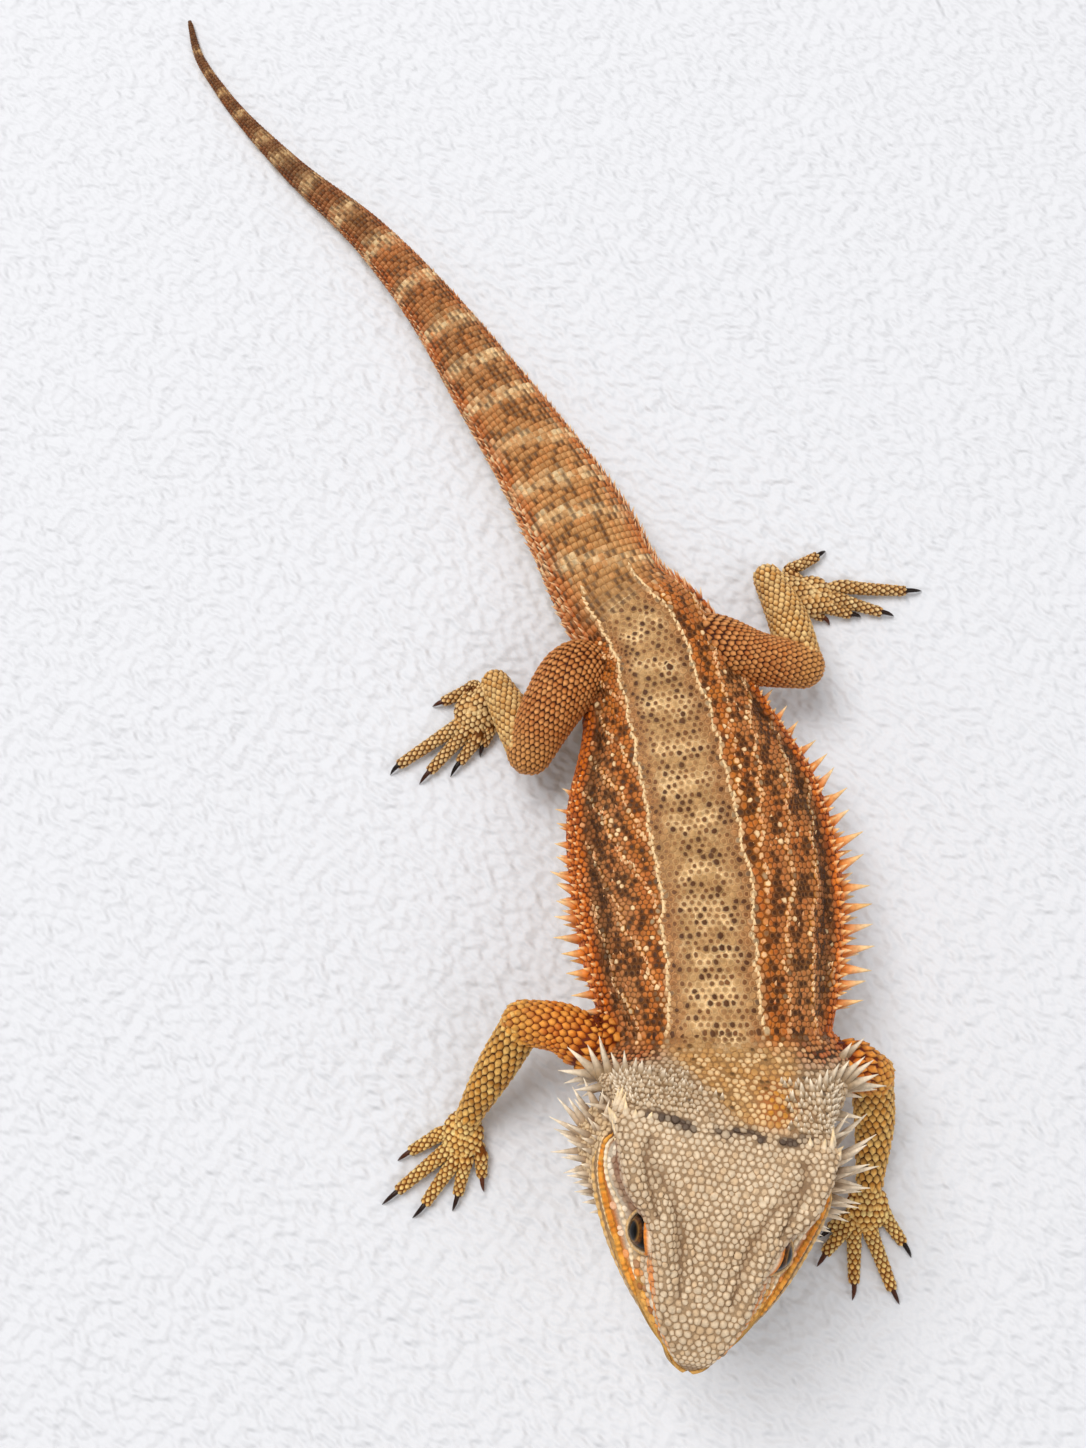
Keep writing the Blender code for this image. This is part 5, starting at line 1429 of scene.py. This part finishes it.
def makeFringe():
    # A row of big spines along each flank, and rows of smaller ones above and below it
    rows, turns, lengths, radii = [], [], [], []
    for side, front, rear, most in fringePlan["sides"]:
        for turn, size, spacing, stout in fringePlan["rows"]:
            at = np.arange(front, rear, spacing)
            at = at + chance.uniform(-0.6, 0.6, len(at))
            share = (at - front) / (rear - front)
            length = size * np.interp(share, *fringePlan["profile"]) * most
            rows.append(bodyStart + at)
            turns.append(side * np.pi * (turn + chance.uniform(-0.008, 0.008, len(at))))
            lengths.append(length)
            radii.append(np.maximum(stout * length, fringePlan["leastRadius"]))
    rows, turns, lengths, radii = map(np.concatenate, (rows, turns, lengths, radii))
    base = mix(shades["brightOrange"], shades["rust"], 0.7 * chance.random(len(rows)))
    tip = mix(shades["cream"], shades["lipYellow"], 0.5 * chance.random(len(rows)))
    spikesOn("fringe_spines", rows, turns, lengths, radii, fringePlan["lean"], base, tip, "back_scales", 0.1, 8)


beardPlan = {
    # Turn share, first and last distance from the snout, spacing, longest spine
    "rows": [(0.50, 55, 65, 3.2, 4.0), (0.53, 48, 65, 3.3, 6.3), (0.565, 42, 65, 3.5, 8.2), (0.605, 38, 65, 3.7, 9.0),
             (0.65, 36, 65, 3.8, 8.6), (0.70, 36, 64, 3.8, 7.2), (0.75, 38, 64, 3.8, 5.8), (0.80, 40, 64, 4.0, 4.4)],
    "lean": (0.95, 0.25, 0.02)}


def makeBeard():
    # Rows of spines along the jaw, each longer toward the rear, and longer on the animal's left
    rows, turns, lengths = [], [], []
    for turn, first, last, spacing, length in beardPlan["rows"]:
        at = np.arange(first, last, spacing)
        for side in (-1, 1):
            rows.append(at + chance.uniform(-0.7, 0.7, len(at)))
            turns.append(side * np.pi * (turn + chance.uniform(-0.012, 0.012, len(at))))
            lengths.append(length * (0.42 + 0.58 * np.linspace(0, 1, len(at)) ** 0.8) * (1.12 + 0.18 * side))
    rows, turns, lengths = map(np.concatenate, (rows, turns, lengths))
    base = mix(shades["headMid"], shades["gapBrown"], 0.25 + 0.5 * chance.random(len(rows)))
    spikesOn("beard_spines", rows, turns, lengths, 0.62 + 0.085 * lengths, beardPlan["lean"], base,
             shades["lipCream"], "head_scales", 0.06, 8)


collarPlan = {
    # Turn share, share of the neck's length, length of each spine of the edge
    "edge": [(0.02, 0.24, 1.5), (0.05, 0.25, 1.6), (0.08, 0.26, 1.8), (0.11, 0.28, 2.0), (0.14, 0.30, 2.2),
             (0.17, 0.33, 2.3), (0.20, 0.37, 2.6), (0.23, 0.41, 2.9), (0.26, 0.44, 3.3), (0.29, 0.47, 3.8),
             (0.32, 0.49, 4.6), (0.355, 0.50, 5.8), (0.39, 0.50, 7.2), (0.425, 0.48, 8.4), (0.46, 0.46, 9.4),
             (0.50, 0.44, 9.6), (0.54, 0.42, 8.8), (0.58, 0.40, 7.6), (0.62, 0.38, 6.4), (0.42, 0.72, 5.0),
             (0.47, 0.72, 6.0), (0.52, 0.68, 6.4), (0.57, 0.64, 5.6), (0.55, 0.18, 6.6), (0.60, 0.18, 6.0)],
    "clear": 0.15,  # no spines within this turn share of the top on the animal's left
    # Leaning out and back, by turn in radians
    "leanOut": ([0.3, 1.3], [0.45, 0.95]), "leanBack": ([0.3, 1.3], [0.9, 0.4]),
    # Corners: turn share, distance from the snout, length
    "corners": [(0.20, 62.5, 1.6), (0.24, 62.2, 2.0), (0.28, 62.6, 2.8), (0.31, 63.6, 3.6), (0.34, 64.5, 4.2),
                (0.37, 64.6, 4.2), (0.40, 63.0, 3.4), (0.30, 60.0, 2.0), (0.33, 61.0, 2.8), (0.36, 61.2, 3.0),
                (0.38, 59.0, 2.2), (0.34, 57.6, 1.8), (0.43, 61.0, 3.0), (0.36, 55.0, 1.4)],
    "cornerLean": (0.55, 0.85, 0.1)}


def bothSides(table):
    # Places, turns and lengths of a table's spines, each on the animal's right and left
    turn, at, length = np.repeat(np.array(table, float), 2, axis=0).T
    return at, np.tile([-1, 1], len(table)) * np.pi * turn, length


def makeCollar():
    # The edge's spines, the flap of small ones before it, and the spines of the head's corners
    flap = [(turn + 0.011 * (number % 2), share, 0.8 + 1.6 * share + 3.0 * max(turn - 0.24, 0))
            for number, share in enumerate(np.arange(0.0, 0.5, 0.06))
            for turn in np.arange(0.09 + 0.1 * share, 0.37, 0.022)]
    shares, turns, lengths = bothSides(collarPlan["edge"] + flap)
    rows = head["length"] + neckLength * shares
    kept = (turns < 0) | (turns > collarPlan["clear"] * np.pi)
    rows, turns, lengths = rows[kept], turns[kept], lengths[kept]
    turns = turns + chance.uniform(-0.02, 0.02, len(turns))
    rows = rows + chance.uniform(-0.5, 0.5, len(rows))
    lean = np.column_stack([np.interp(np.abs(turns), *collarPlan["leanOut"]),
                            np.interp(np.abs(turns), *collarPlan["leanBack"]), 0 * turns])
    spikesOn("collar_spines", rows, turns, lengths, 0.52 + 0.13 * lengths + 0.2 * bump(lengths, 2.6, 1.6), lean,
             0.9 * mix(shades["headMid"], shades["ash"], 0.75), shades["lipCream"], "head_scales", 0.08, 7)
    rows, turns, lengths = bothSides(collarPlan["corners"])
    spikesOn("corner_spines", rows, turns, lengths, 0.7 + 0.1 * lengths, collarPlan["cornerLean"],
             shades["headPale"], shades["cream"], "head_scales", 0.1, 8)


bodySpinePlan = {
    "tries": 7000,  # places tried on the flanks, of which those on a pale strand stay
    "lean": (0.7, 0.75, 0.0), "tailTurns": (0.36, 0.43, 0.49), "tailRows": (116, 330, 2.6),
    "tailLengths": ([120, 180, 250, 330], [3.2, 2.7, 1.7, 0.8]), "tailLean": (0.62, 0.85, 0.0)}


def makeBodySpines():
    # Tubercles of the pale lines and flanks, and the side rows of the tail
    rows, turns, lengths = [], [], []
    grid = np.linspace(0, half, 300)
    for at in np.arange(1, 150, 1.5):
        shift = np.interp(at, *bodyMarks["midShift"])
        row = hermite(stationAt, trunk["stations"], np.array([at]))[0]
        points = bodyPoints(np.full(len(grid), at), grid)
        lat = np.hypot(points[:, 0] - row[0], points[:, 1] - row[1])
        for side in (-1, 1):
            target = lineAway(at, side) + side * shift + chance.uniform(-0.3, 0.3)
            rows.append(bodyStart + at + chance.uniform(-0.3, 0.3))
            turns.append(side * np.interp(target, lat, grid))
            lengths.append(chance.uniform(0.85, 1.35))
    tries = bodySpinePlan["tries"]
    at = chance.uniform(2, 138, tries)
    turn = chance.uniform(0.14, 0.41, tries) * np.pi * chance.choice([-1, 1], tries)
    away, width, _, strand = bodyPlace(at, turn)[3:]
    picked = (np.abs(away) > width + 1.5) & ((np.abs(strand - 0.86) < 0.045) | (chance.random(tries) < 0.012))
    at, turn = at[picked], turn[picked]
    count = len(at)
    rows = np.concatenate([rows, bodyStart + at])
    turns = np.concatenate([turns, turn])
    lengths = np.concatenate([lengths, chance.uniform(0.5, 0.95, count)])
    strands = np.arange(len(rows)) >= len(rows) - count
    base = mix(shades["paleTan"], shades["rust"], chance.random(len(rows)) * strands)
    tip = mix(shades["cream"], shades["orange"], 0.8 * chance.random(len(rows)) * strands)
    radii = np.where(strands, 0.34, 0.5) + 0.18 * lengths
    spikesOn("back_tubercles", rows, turns, lengths, radii, bodySpinePlan["lean"], base, tip, "back_scales", 0.1)
    at = np.arange(*bodySpinePlan["tailRows"])
    rows, turns = [], []
    for turn in bodySpinePlan["tailTurns"]:
        for side in (-1, 1):
            rows.append(bodyStart + at + chance.uniform(-0.5, 0.5, len(at)))
            turns.append(np.full(len(at), side * turn * np.pi))
    rows, turns = np.concatenate(rows), np.concatenate(turns)
    lengths = np.interp(rows - bodyStart, *bodySpinePlan["tailLengths"])
    lengths = lengths * chance.uniform(0.75, 1.1, len(rows))
    tip = mix(shades["cream"], shades["orange"], 0.4 * chance.random(len(rows)))
    spikesOn("tail_spines", rows, turns, lengths, 0.2 + 0.17 * lengths, bodySpinePlan["tailLean"], shades["rust"],
             tip, "tail_scales", 0.15)


makeFringe()
makeBeard()
makeCollar()
makeBodySpines()


# Claws: bent cones at the end of each digit

clawPlan = {"rings": 11, "sides": 10, "curl": 1.1, "rise": 0.5, "drop": 2.1,
            "width": ([-0.15, 0.2, 0.55, 0.8, 1.0], [0.95, 0.95, 0.8, 0.52, 0.08])}


def makeClaws():
    # Along each claw's share t: up by a sine and down by a power of t, and aside by t squared
    starts, ways, lengths, tones = [], [], [], []
    for plan in limbs.values():
        palm = np.array(plan["path"][5], float)
        for spec in plan["digits"]:
            root, forward = digitLine(palm, spec)[:2]
            starts.append([*(root + forward * (spec[3] * 0.93 - 0.6)), 2.4])
            ways.append([*forward, 0.0])
            lengths.append(spec[4] + spec[3] * 0.07 + 1.0)
            tones.append(chance.random())
    starts, ways, lengths = np.array(starts), np.array(ways), np.array(lengths)
    curl = chance.uniform(-clawPlan["curl"], clawPlan["curl"], len(starts))
    share = np.linspace(-0.15, 1.0, clawPlan["rings"])
    width = np.interp(share, *clawPlan["width"])
    outer = np.clip(share, 0, 1)
    middle = starts[:, None] + ways[:, None] * (lengths[:, None] * share)[..., None]
    middle[..., 2] += clawPlan["rise"] * np.sin(outer * np.pi) - clawPlan["drop"] * outer ** 2.4
    aside = np.stack([-ways[:, 1], ways[:, 0]], 1) * curl[:, None]
    middle[..., :2] += aside[:, None] * (share**2)[None, :, None]
    heading = unit(np.gradient(middle, axis=1))
    side = unit(np.cross(heading, [0, 0, 1.0]))
    upward = np.cross(side, heading)
    angle = circle(clawPlan["sides"])
    ring = side[:, :, None] * np.sin(angle)[:, None] * 0.85 + upward[:, :, None] * np.cos(angle)[:, None]
    rings = middle[:, :, None] + width[None, :, None, None] * ring
    rings[..., 2] = np.maximum(rings[..., 2], leastHeight)
    brown = mix(tone(30, 20, 16), tone(96, 48, 24), (np.array(tones) ** 4)[:, None] * np.ones(len(share)))
    colours = mix(brown, tone(150, 104, 60), np.broadcast_to(ramp(share, 0.12, -0.1), brown.shape[:2]) * 0.6)
    claw = coatMaterial("claw", 0.28, 900, 0.15, 500)
    places = np.column_stack([np.linspace(0.05, 0.95, len(starts))] * 2)
    finish(smallSolids("claws", rings, colours, places, claw), "limb_scales")


makeClaws()


# Eyes with their lids

def makeEye(side, name, node):
    # A ball with a swollen front. By polar angle: pupil, streaked iris with a pale ring, dark rim
    out, forward, up = eyeFrame(side)
    polar = np.linspace(0.02, np.pi - 0.02, eye["ballRings"])[:, None]
    around = circle(eye["ballSides"])[None]
    radius = eye["radius"] * (1 + 0.05 * bump(polar, 0, 0.5))
    ball = np.cos(polar)[..., None] * out + (np.sin(polar) * np.cos(around))[..., None] * forward \
        + (np.sin(polar) * np.sin(around))[..., None] * up * (1 if np.cross(forward, up) @ out > 0 else -1)
    points = headToBody(eye["at"] * [side, 1, 1] + ball * radius[..., None])
    polar = np.broadcast_to(polar, points.shape[:2])
    streak = mottle(np.broadcast_to(around, polar.shape) * 6, polar * 4, 0.4, 41)
    iris = mix(tone(110, 66, 24), tone(52, 30, 14), streak)
    colours = mix(tone(6, 5, 4) + 0 * iris, iris, ramp(polar, 0.47, 0.52))
    colours = mix(colours, tone(214, 162, 84), 0.75 * bump(polar, 0.52, 0.025))
    colours = mix(colours, tone(16, 10, 8), ramp(polar, 0.68, 0.8))
    wet = coatMaterial(name + "_gloss", 0.14, 200, 0.0, 300)
    shader = wet.node_tree.nodes["Principled BSDF"]
    wet.node_tree.links.remove(shader.inputs["Roughness"].links[0])
    shader.inputs["Roughness"].default_value = 0.09
    shader.inputs["Specular IOR Level"].default_value = 0.16
    made = closedGrid(name, points, colours, wet)
    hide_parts(node)
    return finish(made, "eye")


def lidPoints(side, share, around, out, forward, up):
    # A rolled rim round an almond opening that widens into a skirt sunk in the head.
    # The share runs round the lid's own section, from the rim over the outside and back inside
    high = np.where(np.sin(around) > 0, eye["opening"][1], eye["opening"][2])
    opening = np.stack([eye["opening"][0] * np.cos(around), high * np.sin(around)], -1)
    rim = np.linalg.norm(opening, axis=-1)
    reach = np.interp(share, [0, 0.1, 0.2, 0.35, 0.6, 0.75, 1.0], [0.0, -0.03, 0.06, 0.25, 0.75, 0.75, 0.0])
    radius = np.interp(share, [0, 0.1, 0.2, 0.35, 0.6, 0.75, 1.0],
                       [0.12, 0.5, 0.85, 0.9, 0.2, -0.9, 0.12]) * eye["lid"] + eye["radius"] + 0.1
    polar = np.clip(rim + reach, 0, 1.5)
    across = unit(opening)
    ball = np.cos(polar)[..., None] * out + np.sin(polar)[..., None] * (
        across[..., :1] * forward + across[..., 1:] * up)
    return headToBody(eye["at"] * [side, 1, 1] + ball * radius[..., None])


def makeLids(side, name):
    # A closed ring of sections: orange inner edge, beads by a cosine, then a pale band and skin tones
    sides, section = eye["lidSides"], eye["lidSection"]
    out, forward, up = eyeFrame(side)
    share = np.linspace(0, 1, section + 1)[:-1][:, None]
    around = circle(sides)[None]
    points = lidPoints(side, share + 0 * around, around + 0 * share, out, forward, up)
    points = points.transpose(1, 0, 2)
    upper = ramp(np.sin(around[0]), -0.15, 0.35)
    beads = 0.5 + 0.5 * np.cos(around[0] * 30)
    edge = np.clip(1.3 * bump(share[:, 0], 0.17, 0.1), 0, 1)
    inner = mix(tone(232, 190, 130), shades["lipOrange"], 0.9 * upper)
    band = mix(shades["headMid"], shades["lipCream"], 0.85 * upper)
    outer = mix(shades["headMid"], shades["headPale"], 0.5 * upper)
    onBand = bump(share[:, 0], 0.36, 0.1)
    colours = mix(outer[:, None] + 0 * points, band[:, None] + 0 * points, onBand[None])
    colours = mix(colours, inner[:, None] + 0 * points, edge[None])
    colours = mix(colours, shades["gapBrown"], 0.4 * beads[:, None] * edge)
    j = np.arange(section)
    k = (j + 1) % section
    last = (sides - 1) * section
    faces = np.concatenate([gridFaces(sides, section), np.stack([j + last, k + last, k, j], -1)])
    made = putMesh(name, points.reshape(-1, 3), faces.ravel(), np.arange(len(faces)) * 4,
                   colours.reshape(-1, 3), None, skinFinish)
    turnOutward(made)
    return finish(made, "head_scales")


for side, word in ((-1, "right"), (1, "left")):
    turnOutward(makeEye(side, "eyeball_" + word, "eye_" + word))
    makeLids(side, "lids_" + word)
print("eyes done")


# Floor, light and camera

floorPlan = {"half": 8.0, "colour": (0.785, 0.80, 0.845, 1), "roughness": 0.9, "grain": 250,
             "grainTurn": (0, 0, -0.6), "grainStretch": (1.0, 0.72, 1.0), "depth": 0.002}


def makeFloor():
    # One large square of pale paper, its grain a noise stretched one way
    mesh = bpy.data.meshes.new("floor")
    size = floorPlan["half"]
    corners = [(-size, -size, 0), (size, -size, 0), (size, size, 0), (-size, size, 0)]
    mesh.from_pydata(corners, [], [(0, 1, 2, 3)])
    floor = bpy.data.objects.new("floor", mesh)
    bpy.context.scene.collection.objects.link(floor)
    material, shader = newMaterial("paper")
    shader.inputs["Base Color"].default_value = floorPlan["colour"]
    shader.inputs["Roughness"].default_value = floorPlan["roughness"]
    place = addNode(material, "TexCoord")
    stretch = addNode(material, "Mapping", Rotation=floorPlan["grainTurn"], Scale=floorPlan["grainStretch"])
    stretch.vector_type = "TEXTURE"
    grain = addNode(material, "TexNoise", Scale=floorPlan["grain"], Detail=0.4)
    relief = addNode(material, "Bump", Strength=1.0, Distance=floorPlan["depth"])
    wire(material, (place, "Object", stretch, "Vector"), (stretch, "Vector", grain, "Vector"),
         (grain, "Fac", relief, "Height"), (relief, "Normal", shader, "Normal"))
    mesh.materials.append(material)


def aimed(made, at, aim):
    # Puts a lamp or camera at a point and turns its view line to the aim
    bpy.context.scene.collection.objects.link(made)
    made.location = at
    made.rotation_mode = "QUATERNION"
    made.rotation_quaternion = (Vector(aim) - Vector(at)).to_track_quat("-Z", "Y")
    return made


def makeLight(name, at, aim, size, power, colour):
    # A round area lamp
    data = bpy.data.lights.new(name, "AREA")
    data.shape = "DISK"
    data.size = size
    data.energy = power
    data.color = colour
    aimed(bpy.data.objects.new(name, data), at, aim)


makeFloor()
makeLight("window", (-1.25, 1.15, 3.3), (0, 0, 0), 2.2, 92, (1.0, 0.985, 0.965))
makeLight("fill", (1.2, -1.0, 1.6), (0, 0, 0), 1.4, 7, (1.0, 0.99, 0.98))
world = bpy.data.worlds.new("studio")
world.use_nodes = True
world.node_tree.nodes["Background"].inputs["Color"].default_value = (1.0, 0.985, 0.965, 1)
world.node_tree.nodes["Background"].inputs["Strength"].default_value = 0.5
bpy.context.scene.world = world
bpy.context.scene.view_settings.view_transform = "Standard"

camera = {"at": (0.0017, -0.1406, 0.4783), "aim": (0.0017, -0.0389, 0.0), "lens": 36.52}
cameraData = bpy.data.cameras.new("camera")
cameraData.lens = camera["lens"]
cameraData.sensor_width = 36
cameraData.sensor_fit = "AUTO"
cameraData.clip_start = 0.01
bpy.context.scene.camera = aimed(bpy.data.objects.new("camera", cameraData), camera["at"], camera["aim"])
